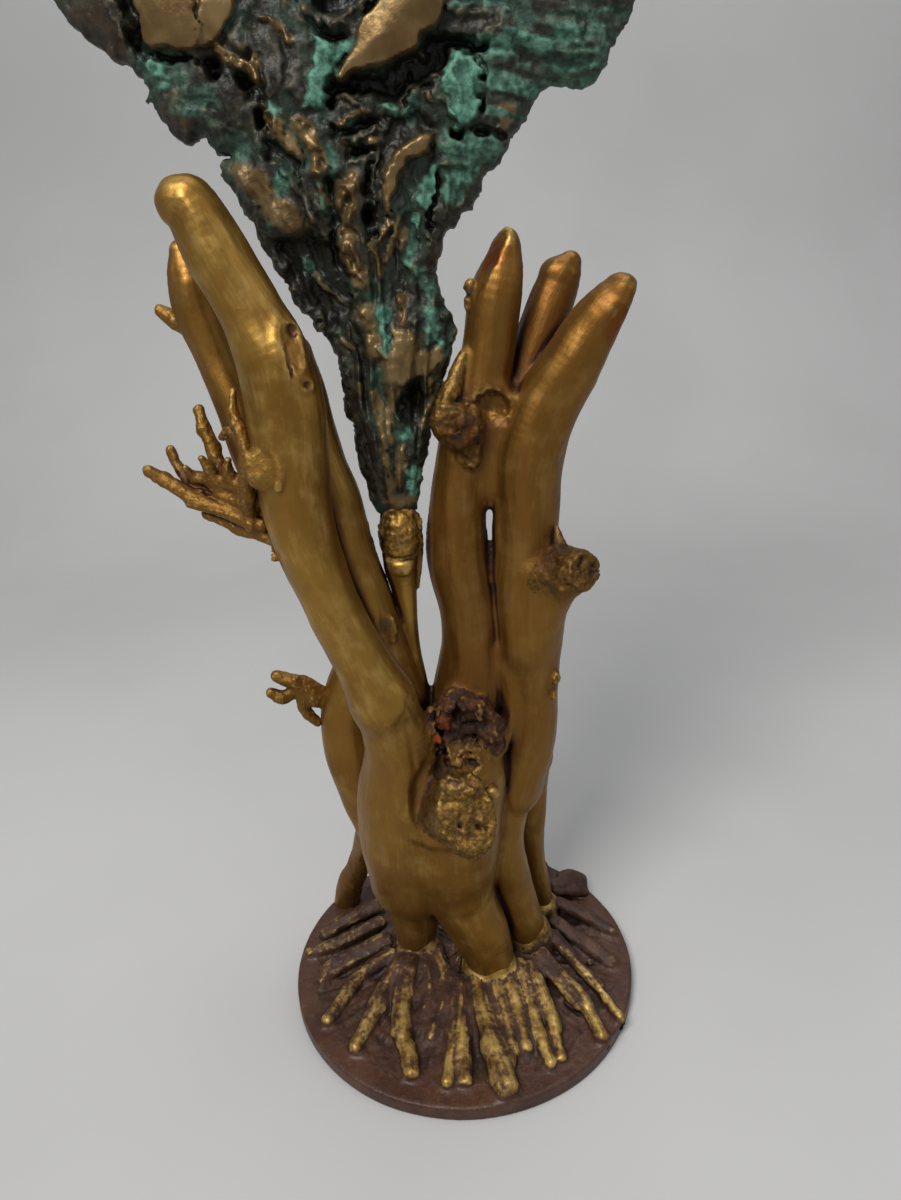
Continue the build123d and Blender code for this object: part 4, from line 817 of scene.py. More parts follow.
CROWN_FEATURES = [
    ('p','r',0.8,0,3.7,0,[(-131.5,468.1),(-125.3,451.2),(-117.5,440.0),(-104.7,431.8),(-102.2,434.4),(-102.4,438.8),(-106.1,446.2),(-111.4,453.5),(-115.2,467.5)]),
    ('p','g',0.3,0,4.44,0,[(-90.8,426.5),(-73.5,425.9),(-67.2,421.1),(-60.0,422.4),(-58.7,413.0),(-62.4,403.7),(-69.7,402.3),(-76.6,404.2),(-77.9,407.4),(-88.5,407.8),(-93.1,412.7),(-97.0,420.6)]),
    ('p','g',0.2,0,4.44,0,[(9.5,457.7),(73.0,455.5),(64.4,432.3),(18.9,432.2),(8.7,437.8)]),
    ('p','r',0.55,0,2.96,0,[(36.2,456.8),(51.2,454.9),(46.4,442.3),(47.1,436.5),(41.3,433.1),(34.4,432.8),(37.8,439.7)]),
    ('p','r',0.6,0,2.22,0,[(59.6,456.0),(76.3,455.4),(69.8,435.7),(64.6,426.9),(62.3,433.0),(66.1,441.6)]),
    ('p','r',0.5,0,2.96,0,[(-3.0,372.8),(4.8,372.5),(2.1,363.6),(0.7,355.4),(-4.3,355.6),(-5.3,364.6)]),
    ('p','r',0.4,0,2.96,0,[(-46.3,337.1),(-33.8,338.4),(-27.7,305.1),(-29.3,271.6),(-34.2,284.7),(-38.2,309.6)]),
    ('p','k',1,-6,1.85,0,[(-101.0,458.8),(-98.6,450.3),(-96.9,446.2),(-97.7,438.1),(-101.7,436.8),(-101.6,441.2),(-99.5,443.4),(-101.0,448.1),(-106.8,452.8)]),
    # painted shadow: black band under the lower edge of the left plate, also sunk into the slab
    ('p','k',1,-5,1.48,0,[(-101.6,437.6),(-94.2,436.8),(-84.1,435.5),(-81.7,433.4),(-89.5,434.3),(-96.2,435.1),(-98.2,433.4),(-101.4,434.7)]),
    ('s','k',1,-6,0.5,2.77,[(-79.5,432.1),(-73.9,429.8),(-66.4,426.5),(-61.0,423.0),(-59.4,418.7),(-58.6,413.7)]),
    # painted shadow: black band under the lower edge of the right plate, also sunk into the slab
    ('p','k',1,-9,2.22,0,[(-25.8,426.6),(-19.4,427.6),(-12.4,428.8),(-3.6,431.8),(-1.4,434.7),(-0.2,437.3),(5.3,437.9),(10.4,436.9),(15.5,435.2),(22.4,433.8),(21.6,432.1),(12.7,433.0),(7.8,432.0),(6.0,429.0),(4.7,424.6),(-0.6,421.7),(-7.7,421.1),(-14.8,418.3),(-21.7,421.0),(-28.5,422.7),(-31.8,421.3),(-34.2,418.3),(-35.4,419.6),(-32.3,423.8)]),
    ('p','k',1,-5,1.85,0,[(-34.8,411.5),(-29.6,410.1),(-23.3,413.0),(-17.0,412.1),(-18.0,409.0),(-27.3,407.5),(-33.7,407.7)]),
    ('p','k',1,-6,1.48,0,[(-29.9,402.5),(-27.6,404.6),(-23.3,404.5),(-20.6,402.4),(-24.2,401.6),(-28.7,399.8)]),
    ('p','k',1,-9,2.22,0,[(-35.0,459.3),(-21.8,458.8),(-24.1,446.5),(-26.6,444.6),(-30.1,444.1),(-34.4,444.9),(-35.9,447.5)]),
    ('p','k',0.8,-3,1.85,0,[(-35.5,440.6),(-30.9,439.2),(-26.7,439.7),(-27.6,437.4),(-31.2,435.7),(-35.2,436.5)]),
    ('s','k',1,-6,0.5,2.22,[(-21.9,398.9),(-24.3,390.9),(-23.9,382.5),(-23.9,372.9)]),
    ('s','k',1,-4,0.5,1.67,[(9.4,407.4),(18.2,406.4),(28.2,404.1)]),
    ('s','k',0.9,-4,0.5,1.67,[(18.8,430.1),(19.0,422.5),(18.4,412.7)]),
    ('p','k',0.9,-5,3.33,0,[(-61.3,373.7),(-49.3,374.6),(-35.0,369.2),(-35.2,344.1),(-41.3,340.6),(-49.4,345.4),(-56.8,357.7)]),
    ('p','k',0.9,-4,2.96,0,[(-39.1,396.3),(-33.6,393.5),(-35.2,374.4),(-34.2,356.8),(-29.2,347.5),(-35.2,344.8),(-38.4,372.8)]),
    ('e','k',1,-8,0.45,0,[(-11.8,308.5),(5.92,8.51)]),
    ('p','k',0.8,-3,1.85,0,[(-46.0,340.1),(-41.5,338.4),(-37.9,313.5),(-34.8,297.2),(-32.7,271.7),(-35.2,271.8),(-39.2,297.4),(-41.8,313.7)]),
    ('p','k',0.9,-4,1.85,0,[(-59.5,406.8),(-50.1,401.6),(-47.2,395.0),(-51.0,393.5),(-56.7,400.2),(-61.3,403.6)]),
    ('s','k',0.9,-4,0.5,1.48,[(-7.2,429.5),(-5.2,420.4),(-8.2,417.4)]),
    ('p','k',0.9,-4,2.22,0,[(-14.8,413.0),(-2.8,414.1),(1.2,408.3),(-8.5,407.4),(-13.4,401.9),(-18.2,395.6),(-19.2,402.1)]),
    ('p','k',0.7,-3,2.22,0,[(-13.9,377.0),(-8.2,380.2),(-5.0,371.5),(-11.4,357.7),(-16.7,350.7),(-19.2,359.8)]),
    ('s','k',0.9,-3,0.5,1.29,[(3.4,394.1),(1.6,384.9),(-1.0,376.5)]),
    ('s','g',1,2.0,0.5,1.11,[(-108.1,448.3),(-104.9,443.3),(-103.1,440.3),(-102.3,437.4),(-103.6,434.2)]),
    ('p','g',1,2.5,1.85,0,[(-63.6,442.7),(-61.3,444.1),(-59.3,441.7),(-56.7,440.7),(-53.5,438.6),(-50.3,436.4),(-48.7,432.5),(-50.1,426.6),(-53.2,420.6),(-56.9,421.6),(-57.0,426.8),(-57.6,432.8),(-61.9,434.5),(-66.8,436.1),(-68.0,440.0)]),
    ('p','g',0.9,1.5,1.85,0,[(-47.1,437.5),(-42.6,438.2),(-38.6,436.6),(-40.6,430.7),(-39.7,426.2),(-43.2,422.4),(-45.4,418.8),(-47.9,421.3),(-49.9,425.0),(-47.8,431.0)]),
    ('s','g',0.9,3,0.5,1.67,[(-42.0,450.5),(-39.1,445.9),(-34.6,443.1),(-28.5,442.6),(-24.3,444.2),(-20.7,446.7),(-17.1,450.2)]),
    ('s','g',0.8,1.5,0.5,2.59,[(-49.6,451.4),(-44.7,444.1),(-40.7,440.2)]),
    ('s','g',1,2.5,0.5,1.29,[(-28.7,420.6),(-25.4,418.0),(-23.5,415.5)]),
    ('s','g',1,2.5,0.5,1.48,[(-29.7,405.0),(-26.0,406.2),(-21.6,408.2),(-18.3,408.7)]),
    ('s','g',1,2.0,0.5,1.29,[(-17.5,405.2),(-18.6,400.4),(-21.7,397.0)]),
    ('s','g',1,1.5,0.5,1.48,[(-28.0,399.2),(-24.3,400.0),(-23.2,396.4),(-25.6,393.2)]),
    ('s','g',1,2.0,0.5,1.11,[(-6.6,421.3),(-2.4,421.5),(1.1,420.4),(1.6,417.0)]),
    ('s','g',0.7,2.6,0.5,1.85,[(-55.4,401.8),(-50.8,395.1),(-47.7,390.1),(-44.0,383.3),(-40.1,374.3)]),
    ('s','g',0.8,1.5,0.5,1.48,[(-11.5,386.7),(-14.0,381.4),(-16.5,376.8)]),
    ('s','g',0.8,1.5,0.5,1.48,[(-1.2,371.4),(2.3,367.8),(0.5,361.5)]),
    ('s','g',0.8,2.0,0.5,1.29,[(5.9,417.5),(7.8,414.3),(9.2,413.0)]),
    ('s','g',0.7,1.5,0.5,2.59,[(10.7,445.0),(19.2,445.6),(27.6,442.4),(22.4,437.3)]),
    ('p','t',1,0.8,1.48,0,[(-94.6,434.1),(-90.9,431.9),(-90.4,428.9),(-95.8,427.6),(-98.5,429.8),(-99.1,432.2)]),
    ('e','t',0.9,0.5,0.5,0,[(-92.7,425.4),(2.59,1.48)]),
    ('p','t',0.35,0,3.7,0,[(-101.9,435.9),(-82.7,433.7),(-84.9,426.3),(-96.5,423.7),(-102.4,429.3)]),
    ('p','t',1,2.0,0.93,0,[(-39.4,438.9),(-37.5,437.7),(-35.3,435.6),(-31.5,435.4),(-27.3,437.3),(-25.3,436.7),(-26.5,433.8),(-29.2,430.3),(-31.6,426.8),(-34.4,423.3),(-36.3,418.4),(-38.0,415.4),(-42.2,414.9),(-45.5,417.5),(-44.6,419.7),(-42.2,422.3),(-40.0,426.2),(-39.3,430.1),(-37.6,433.6)]),
    ('p','t',1,2.0,1.11,0,[(7.1,430.5),(12.0,431.8),(18.2,432.2),(18.8,430.1),(18.4,425.6),(17.5,419.5),(18.1,413.3),(16.9,409.6),(14.0,407.8),(10.5,408.6),(8.5,413.7),(8.0,418.4),(6.8,423.0),(5.9,426.6)]),
    ('p','t',0.85,0.8,1.48,0,[(18.9,432.2),(29.9,430.6),(32.0,428.7),(25.7,427.7),(19.4,427.1)]),
    ('p','t',0.8,0.5,1.11,0,[(30.2,428.2),(36.8,427.6),(36.5,425.5),(31.2,426.0)]),
    ('p','t',0.65,0.5,2.22,0,[(26.0,444.5),(36.2,444.7),(37.8,439.7),(32.7,437.6),(28.6,440.6)]),
    ('p','t',0.75,0.8,2.22,0,[(41.3,440.2),(49.8,439.3),(57.4,434.9),(56.1,432.6),(49.9,434.6),(43.7,436.6)]),
    ('p','t',0.7,0.5,1.85,0,[(51.5,442.7),(60.0,442.4),(65.6,438.7),(61.8,437.1),(56.6,439.6)]),
    ('p','t',0.8,0.5,1.11,0,[(49.9,431.1),(59.7,428.0),(60.4,426.5),(52.8,427.4)]),
    ('p','t',0.7,0.5,1.48,0,[(27.4,423.2),(32.6,421.4),(39.6,420.6),(40.7,416.2),(36.1,418.3),(29.8,420.3)]),
    ('p','t',0.45,0,2.22,0,[(36.8,427.3),(50.0,425.7),(48.7,423.6),(39.6,424.2)]),
    ('p','t',0.6,0.6,2.22,0,[(5.8,406.9),(11.1,405.7),(18.2,403.9),(25.3,403.0),(26.4,400.4),(23.0,396.0),(17.9,394.2),(10.7,395.1),(5.5,401.1),(2.7,402.9)]),
    ('s','t',1,0.8,0.5,2.4,[(0.9,394.2),(-1.1,389.0),(-1.8,383.3)]),
    ('s','t',0.6,0.5,0.5,2.96,[(14.5,400.8),(16.2,395.9),(10.6,391.2),(6.8,386.4)]),
    ('e','t',0.9,0.8,0.5,0,[(-55.4,416.7),(2.96,3.33)]),
    ('e','t',0.75,0.5,0.5,0,[(-54.6,393.6),(3.7,5.92)]),
    ('e','t',0.9,0.5,0.5,0,[(-48.5,364.5),(2.22,2.96)]),
    ('e','t',0.6,0.5,0.5,0,[(-13.3,415.4),(2.22,2.96)]),
    ('e','t',0.6,0.5,0.5,0,[(-8.0,414.3),(2.22,2.22)]),
    ('e','t',0.6,0.3,0.5,0,[(-4.1,415.4),(2.22,2.59)]),
    ('e','t',0.6,0.4,0.5,0,[(-6.1,410.5),(1.85,2.22)]),
    ('s','t',0.75,0.6,0.5,1.67,[(-6.1,377.8),(-8.3,371.7),(-9.6,361.9)]),
    ('s','t',0.9,1.0,0.5,1.85,[(-20.8,346.5),(-20.1,339.8),(-21.5,331.5)]),
    ('s','t',0.85,0.6,0.5,2.04,[(-2.5,345.7),(-1.1,340.9),(-0.7,334.5)]),
    ('s','t',0.85,0.6,0.5,1.85,[(0.8,332.1),(1.3,325.2)]),
    ('e','t',0.9,0.4,0.5,0,[(-15.4,296.4),(3.33,3.33)]),
    ('s','t',0.8,0.5,0.5,2.04,[(-13.3,282.1),(-11.9,277.3),(-12.3,270.8)]),
    ('p','t',0.4,0,2.96,0,[(-72.6,407.2),(-66.9,410.2),(-64.1,403.7),(-68.1,400.7),(-73.0,401.5)]),
    ('e','t',0.5,0.3,0.5,0,[(-35.9,399.5),(2.96,5.92)]),
    ('e','t',0.4,0.2,0.5,0,[(-39.7,389.8),(2.96,7.4)]),
    ('e','t',0.5,0.2,0.5,0,[(-27.0,411.9),(2.96,2.22)]),
    ('s','t',0.5,0.3,0.5,1.85,[(-5.5,361.0),(-2.8,355.6),(-1.5,350.1)]),
    ('p','b',1,5.0,0.59,0,[(-95.6,461.4),(-98.7,453.1),(-97.8,448.8),(-96.7,445.9),(-97.3,442.2),(-97.3,438.7),(-94.1,437.1),(-89.0,437.2),(-85.7,436.2),(-80.7,435.4),(-78.2,436.2),(-75.8,435.8),(-72.9,437.2),(-71.2,438.9),(-69.0,440.6),(-67.3,442.8),(-64.9,445.1),(-63.9,447.6),(-63.5,453.3),(-64.0,461.6),(-72.0,470.1),(-85.3,469.2)]),
    ('s','k',0.35,-1.6,0.5,0.93,[(-74.1,460.6),(-76.1,449.5),(-77.4,436.8)]),
    ('p','b',1,6.0,0.59,0,[(-13.8,448.7),(-17.4,445.1),(-21.0,442.4),(-23.0,439.0),(-24.0,435.5),(-25.9,432.6),(-27.9,430.3),(-29.8,427.9),(-31.7,425.6),(-30.1,424.0),(-27.9,425.8),(-25.7,427.2),(-21.1,428.2),(-15.9,428.6),(-12.3,429.7),(-7.8,431.0),(-4.2,432.4),(-2.4,433.8),(-2.3,435.9),(-1.2,437.6),(1.9,438.6),(4.7,440.3),(6.6,443.1),(7.7,446.5),(8.0,453.6),(3.0,460.7),(-7.0,461.1)]),
    ('s','b',0.95,3.5,0.5,2.04,[(-72.6,436.6),(-70.0,433.0),(-64.1,430.7),(-60.3,428.4),(-58.6,425.4)]),
    ('s','b',0.95,2.5,0.5,1.29,[(-59.1,432.6),(-58.8,429.0),(-58.6,425.4)]),
    ('s','b',0.95,2.8,0.5,1.29,[(-54.8,444.4),(-51.7,442.3),(-48.6,439.3),(-46.5,437.1)]),
    ('s','b',0.9,2.5,0.5,0.93,[(-32.0,411.4),(-27.5,413.5),(-23.5,415.2)]),
    ('e','b',1,1.5,0.5,0,[(-20.0,405.3),(1.85,1.11)]),
    ('e','b',1,1.5,0.5,0,[(-29.5,403.4),(1.48,1.48)]),
    ('p','b',0.85,1.5,1.11,0,[(25.5,413.7),(30.8,414.7),(31.8,412.2),(29.7,409.2),(28.2,407.3),(25.4,407.4),(24.4,410.6)]),
    ('p','b',1,5.0,0.74,0,[(-18.1,380.3),(-18.9,385.7),(-17.4,390.6),(-15.3,395.4),(-12.1,400.2),(-7.6,404.2),(-1.3,407.5),(0.8,406.4),(-1.6,402.1),(-6.4,399.0),(-10.2,395.3),(-12.0,390.4),(-14.5,385.5),(-16.3,380.9)]),
    ('s','b',0.85,2.5,0.5,2.4,[(-58.4,415.5),(-54.3,411.3),(-51.2,407.1),(-48.8,403.2)]),
    ('s','b',0.9,3.0,0.5,2.77,[(-46.8,412.0),(-44.0,407.8),(-41.3,402.9),(-40.4,397.7)]),
    ('p','b',0.75,1.5,2.22,0,[(-74.6,400.9),(-68.0,401.3),(-62.1,397.2),(-56.8,390.4),(-51.9,385.2),(-47.1,378.3),(-49.2,376.0),(-56.5,377.0),(-61.4,382.2),(-66.0,389.1),(-72.1,392.7)]),
    ('s','b',0.9,2.5,0.5,3.15,[(-29.2,393.4),(-31.3,386.1),(-32.0,377.7),(-31.2,369.1),(-29.8,359.1)]),
    ('s','b',0.9,2.0,0.5,1.29,[(-16.8,378.2),(-20.2,372.1)]),
    ('s','b',0.9,2.0,0.5,1.29,[(-13.1,378.0),(-15.8,370.6),(-19.2,364.4)]),
    ('s','b',0.9,2.0,0.5,1.11,[(-23.1,372.9),(-21.9,364.5),(-21.4,359.9)]),
    ('s','b',0.7,1.5,0.5,1.48,[(-10.7,374.5),(-14.1,368.4)]),
    ('s','b',0.5,1.0,0.5,1.48,[(-46.3,360.5),(-41.9,355.3),(-38.5,350.8)]),
    ('s','b',0.9,2.0,0.5,2.77,[(-27.0,346.7),(-26.1,338.1),(-23.6,329.3)]),
    ('s','b',0.9,2.0,0.5,1.67,[(-13.6,351.3),(-13.5,341.4)]),
    ('p','b',0.9,1.5,1.48,0,[(-16.3,339.6),(-8.8,335.6),(-7.1,329.8),(0.8,331.4),(2.9,325.6),(-3.6,320.8),(-13.7,317.3),(-21.5,319.2),(-23.1,325.5),(-18.7,332.2)]),
    ('s','b',0.85,2.0,0.5,1.67,[(-19.0,315.9),(-21.6,306.9),(-20.7,295.8)]),
    ('s','b',0.8,1.8,0.5,1.29,[(-3.0,318.4),(-4.2,308.1),(-8.3,299.4)]),
    ('s','b',0.8,1.5,0.5,1.48,[(-26.2,315.0),(-24.7,296.8),(-23.4,280.0),(-22.5,267.8)]),
    ('s','b',0.8,1.5,0.5,1.29,[(-16.1,291.5),(-19.0,277.2)]),
    ('e','b',1,1.5,0.5,0,[(-31.7,316.4),(1.85,2.59)]),
    ('s','b',0.8,1.5,0.5,0.93,[(-38.0,334.8),(-33.6,332.0)]),
    ('e','b',0.6,1,0.5,0,[(-18.7,267.6),(8.14,2.96)]),
    ('s','b',0.7,1.5,0.5,1.11,[(3.9,349.9),(6.7,343.2),(7.6,336.8)]),
    ('e','b',0.6,0.8,0.5,0,[(-90.1,419.8),(2.22,3.7)]),
    ('e','b',0.5,0.5,0.5,0,[(-86.9,413.4),(2.96,2.22)]),
    ('s','b',0.75,1.2,0.5,1.48,[(-41.0,391.5),(-37.3,384.7)]),
]
CROWN_GRAIN = [
    ('s',1,3.7,[(9.7,463.2),(76.0,461.0),(70.9,441.4),(64.5,428.4),(60.0,418.6),(41.4,416.2),(32.5,409.7),(27.1,405.1),(17.5,404.5),(19.5,428.6),(10.3,433.4)]),
    ('s',0.8,2.22,[(2.6,407.0),(9.7,406.1),(27.1,402.9),(25.2,395.6),(16.0,391.0),(6.9,389.7),(2.8,396.4)]),
    ('s',0.8,2.96,[(-90.0,424.7),(-74.7,424.7),(-74.9,413.6),(-79.2,410.7),(-89.4,411.0),(-91.7,418.9)]),
    ('m',1,2.96,[(-126.6,467.9),(-105.3,458.9),(-103.0,444.7),(-105.3,436.0),(-114.3,439.3),(-122.6,448.3)]),
    ('m',0.8,2.22,[(-95.9,423.1),(-87.7,421.5),(-88.9,409.8),(-93.4,410.5),(-97.6,417.0)]),
    ('m',0.8,1.85,[(41.3,423.6),(59.8,423.5),(57.2,418.7),(43.8,419.8)]),
]


# --------------------------------------------------------------------------
# Shared steps from a field to pieces.
# --------------------------------------------------------------------------
def curvature(v, q, n, rounds):
    """How far each point stands out of its surroundings, in mm; hollows are negative."""
    w = np.stack([blurred(q, len(v), v[:, k], rounds) for k in range(3)], 1)
    return ((v - w) * n).sum(1)


def openness(F, v, n):
    """1 in the open, 0 in a crack, from the field itself."""
    a = np.clip(F.sample(F.D, v + n * 3.0) / 3.0, 0, 1)
    b = np.clip(F.sample(F.D, v + n * 7.0) / 7.0, 0, 1)
    c = np.clip(F.sample(F.D, v + n * 1.4) / 1.4, 0, 1)
    return a * 0.35 + b * 0.4 + c * 0.25


def face_labels(F, v, q):
    """The label of each face, from the nearest cell of the field."""
    mid = v[q].mean(1)
    i = np.clip(np.round((mid - F.o) / F.h).astype(int), 0, F.n - 1)
    return F.L[i[:, 0], i[:, 1], i[:, 2]].astype(int)


def vertex_label(q, fl, nv):
    out = np.zeros(nv, int)
    for k in range(4):
        out[q[:, k]] = fl
    return out


def spots(v, items):
    """A mask of soft balls: items are (x, y, z, radius, strength)."""
    m = np.zeros(len(v))
    for x, y, z, r, s in items:
        d = np.linalg.norm(v - (x, y, z), axis=1)
        m = np.maximum(m, s * (1 - sstep(0.6, 1.25, d / r)))
    return m


def along(v, vl, lines):
    """Grain coordinates in mm: two across the limb and one along it."""
    gx, gy, gs = np.zeros(len(v)), np.zeros(len(v)), np.zeros(len(v))
    for l, pts in lines.items():
        m = np.nonzero(vl == l)[0]
        if not len(m):
            continue
        P = dense(pts, 3.0)
        if len(P) < 2:
            P = np.vstack([P[0], P[0] + (0, 0, 1, 0)])
        C = P[:, :3]
        T = np.gradient(C, axis=0)
        T /= np.maximum(np.linalg.norm(T, axis=1), 1e-9)[:, None]
        A = np.zeros_like(T)
        a = np.cross(T[0], (0.0, 1.0, 0.0))
        for i, t in enumerate(T):
            a = a - t * (a @ t)
            a /= max(np.linalg.norm(a), 1e-9)
            A[i] = a
        B = np.cross(T, A)
        S = np.concatenate([[0], np.cumsum(np.linalg.norm(np.diff(C, axis=0), axis=1))])
        d2 = ((v[m][:, None, :] - C[None]) ** 2).sum(2)
        i = d2.argmin(1)
        w = v[m] - C[i]
        gx[m] = (w * A[i]).sum(1) + 37.0 * l
        gy[m] = (w * B[i]).sum(1)
        gs[m] = (w * T[i]).sum(1) + S[i]
    return gx, gy, gs


def across(n, up=(0, 0, 1)):
    """Three unit directions from a surface normal: sideways, outwards, upwards."""
    n = np.array(n, float)
    n /= np.linalg.norm(n)
    t = np.cross(np.array(up, float), n)
    t /= np.linalg.norm(t)
    return [t, n, np.cross(n, t)]


def plane_cut(F, c, n, r, amp=0.0, freq=0.3, seed=31, k=1.2):
    """Cuts the end of a limb flat, with a rough face."""
    n = np.array(n, float)
    n /= np.linalg.norm(n)
    c = np.array(c, float)
    a, b = F.sub(c - r, c + r)
    x, y, z = F.axes(a, b)
    d = (x - c[0]) * n[0] + (y - c[1]) * n[1] + (z - c[2]) * n[2]
    if amp:
        d = d + amp * fbm(x * freq, y * freq, z * freq, seed, 3)
    ball = np.sqrt((x - c[0]) ** 2 + (y - c[1]) ** 2 + (z - c[2]) ** 2) - r * 0.95
    cut = np.maximum(-d, ball)
    s = tuple(slice(i, j) for i, j in zip(a, b))
    F.D[s] = smax(F.D[s], -cut, k).astype(f32)


MM = 0.001
WORDS = {}


def finish_pieces(prefix, objects):
    """Each sculpted piece stands for its CAD node and rides with the body."""
    for node, ob in objects.items():
        ob.name = prefix + node
        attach(ob, "root")
        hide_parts(node)


# --------------------------------------------------------------------------
# Wood
# --------------------------------------------------------------------------
def make_wood():
    F = Field((-124, -58, 6), (82, 64, 405), 0.8)
    order = ["trunk_body", "left_main_limb", "left_rear_limb", "inner_left_limb", "left_low_lobe", "central_stem",
             "inner_right_limb", "middle_finger", "outer_right_limb", "left_leg", "centre_leg", "right_leg",
             "far_right_leg", "back_left_root", "front_stub", "knot_stub_right", "bark_knob", "broken_knot",
             "burl_crust", "resin_link", "stem_collar"]
    I = {n: i for i, n in enumerate(order)}
    lines = {}

    def limb(name, k=4.5, wobble=0.7, pts=None, key=None):
        pts = pts or LIMBS[name]
        F.add(pts, I[key or name], k, 3.0, wobble, 100 + I[key or name] * 7)
        lines.setdefault(I[key or name], pts)

    limb("body_left_lobe", 3.0, 0.8, key="trunk_body")
    limb("body_front_lobe", 3.0, 0.8, key="trunk_body")
    limb("left_main_limb", 4.5, 0.8, pts=[(-87.8, -22, 387.6, 9.6)] + LIMBS["left_main_limb"][1:])
    limb("left_low_lobe", 1.0, 0.8)
    limb("inner_left_limb", 1.2, 0.6)
    limb("left_rear_limb", 1.0, 0.8, pts=[(-98.8, 13, 370, 5.2)] + [p for p in LIMBS["left_rear_limb"] if p[2] < 366] + [(-60.5, -11, 237, 6.4), (-54.5, -15, 224, 5.0)])
    F.add([(-45.9, 25, 179.6, 9.0), (-38.5, 21, 200, 7.6), (-35.5, 12, 214, 6.6), (-37, 4, 226, 5.0)], I["left_low_lobe"], 3.0, 2.0, 0.5, 15)
    limb("central_stem", 1.2, 0.4, pts=[(-20.6, 3.5, 241, 7.4), (-20.4, 3.8, 236, 7.2), (-19.8, 4.5, 228, 5.9), (-19.3, 5.0, 217, 5.1), (-18.6, 6.0, 199, 4.5), (-16.6, 7.0, 180, 4.6), (-14.7, 10.0, 150, 7.8), (-12.1, 12.0, 122.1, 10.1)])
    limb("inner_right_limb", 2.5, 0.7)
    F.lump((27.6, 6.0, 367.2), (6.2, 6.0, 6.6), I["inner_right_limb"], 2.0)
    limb("middle_finger", 2.2, 0.6)
    F.lump((50.8, 20.0, 356.6), (8.0, 7.4, 5.8), I["middle_finger"], 2.5)
    limb("outer_right_limb", 1.8, 0.7, pts=[(71.5, -2.0, 350.0, 7.6), (66.8, -2.0, 343.2, 10.6)] + LIMBS["outer_right_limb"][2:])
    plane_cut(F, (74.0, -5.0, 343.0), (0.90, -0.22, -0.37), 30.0, 0.25, 0.4, 43, 1.4)
    # the fingers grow out of one palm; two slits stay open in it
    F.add([(23.5, 6.5, 307, 8.0), (20.5, 5.5, 296, 8.0), (19.6, 4.5, 284, 7.4), (18.8, 4.0, 272.5, 6.0), (18.4, 4.0, 266.5, 3.6)], I["outer_right_limb"], 4.5, 2.0, 0.5, 5)
    F.add([(30, 10, 304, 9.0), (37, 12, 306, 8.5)], I["middle_finger"], 4.0, 2.0, 0.5, 6)
    F.add([(19.2, 5.0, 229, 2.6), (19.8, 5.5, 220, 5.0), (21.0, 6.0, 210, 6.6), (22.5, 7.0, 196, 7.5), (24.0, 8.0, 170, 8.5)], I["inner_right_limb"], 2.0, 2.0, 0.5, 7)
    limb("far_right_leg", 2.5, 0.5)
    F.add([(40.2, 24, 120, 9.2), (38.4, 17, 139, 9.0), (37.0, 11, 156, 8.6)], I["far_right_leg"], 4.0, 2.0, 0.5, 16)
    F.add([(0.7, 12, 112, 17.5), (4.0, 10, 96, 15.0), (12.0, 7, 82, 11.5), (20.0, 5, 68, 9.0)], I["trunk_body"], 5.0, 2.0, 0.5, 17)
    limb("right_leg", 2.2, 0.6)
    limb("left_leg", 2.4, 0.6)
    limb("centre_leg", 2.4, 0.6)
    limb("back_left_root", 3.0, 1.4)
    limb("front_stub", 3.0, 0.6)
    limb("knot_stub_right", 4.5, 0.8, pts=[(38, 1, 231, 11.5), (45, -6, 235.5, 9.6), (52, -12.5, 238.5, 8.6), (60, -21, 240.5, 8.0)])
    limb("resin_link", 3.5, 2.0, pts=[(10.5, 0, 328, 2.2), (7.0, -2, 320, 3.2), (4.0, -4.5, 313, 3.8), (0.5, -7, 306, 3.8), (-0.5, -8.5, 300.7, 3.2), (4.5, -8.5, 296, 3.6)])
    F.rough((-8, -18, 290), (8, 6, 332), 1.0, 0.45, 59, 3)
    limb("stem_collar", 1.4, 1.2, pts=[(-20.8, 4.8, 257.0, 8.8), (-20.6, 4.6, 250.5, 9.5), (-20.4, 4.4, 246.5, 9.0)])
    # side strand beside the central stem, and the bright knob at its top
    F.add([(-11.0, 4.0, 258, 1.0), (-11.4, 3.0, 247, 1.5), (-12.2, 3.5, 236, 1.4), (-13.4, 4.5, 226, 1.0)], I["central_stem"], 1.0, 2.0, 0.3, 7)
    F.lump((-20.2, 0.0, 239.0), (5.8, 5.0, 4.6), I["central_stem"], 2.0, 0.8, 0.3, 11)
    F.groove([(-27.5, -1.0, 243.4, 0.7), (-20.6, -4.4, 243.0, 0.9), (-13.6, -1.0, 243.4, 0.7)], 1.2)
    F.rough((-36, -12, 243), (-6, 20, 274), 1.5, 0.5, 21, 4)

    # oval knot scar with its pit and crack, and a small scar under it
    ax = across((0.64, -0.72, 0.24))
    F.lump((-54.3, -30.2, 337.0), (7.0, 3.9, 13.0), I["left_main_limb"], 3.2, 0.7, 0.22, 13, ax)
    F.dent((-52.4, -33.6, 337.6), (3.4, 1.7, 9.0), 1.4, 0.9, 0.4, 14, ax)
    F.dent((-52.2, -30.4, 343.4), (1.7, 3.0, 2.6), 1.4, 0.9, 0.6, 75)
    F.groove([(-53.6, -33.6, 341.0, 0.6), (-54.3, -34.0, 336.0, 0.9), (-53.9, -34.9, 330.0, 0.6), (-52.6, -35.0, 326.5, 0.4)], 0.8)
    F.groove([(-51.0, -31.0, 345.0, 0.5), (-50.6, -31.6, 338.0, 0.6), (-51.0, -33.0, 331.0, 0.5)], 0.8)
    ax = across((0.74, -0.65, 0.17))
    F.lump((-49.6, -31.2, 324.0), (3.6, 2.0, 2.6), I["left_main_limb"], 1.6, 0.4, 0.5, 15, ax)
    F.dent((-48.3, -32.4, 324.4), (2.2, 1.4, 1.2), 1.0, 0.7, 0.6, 76, ax)
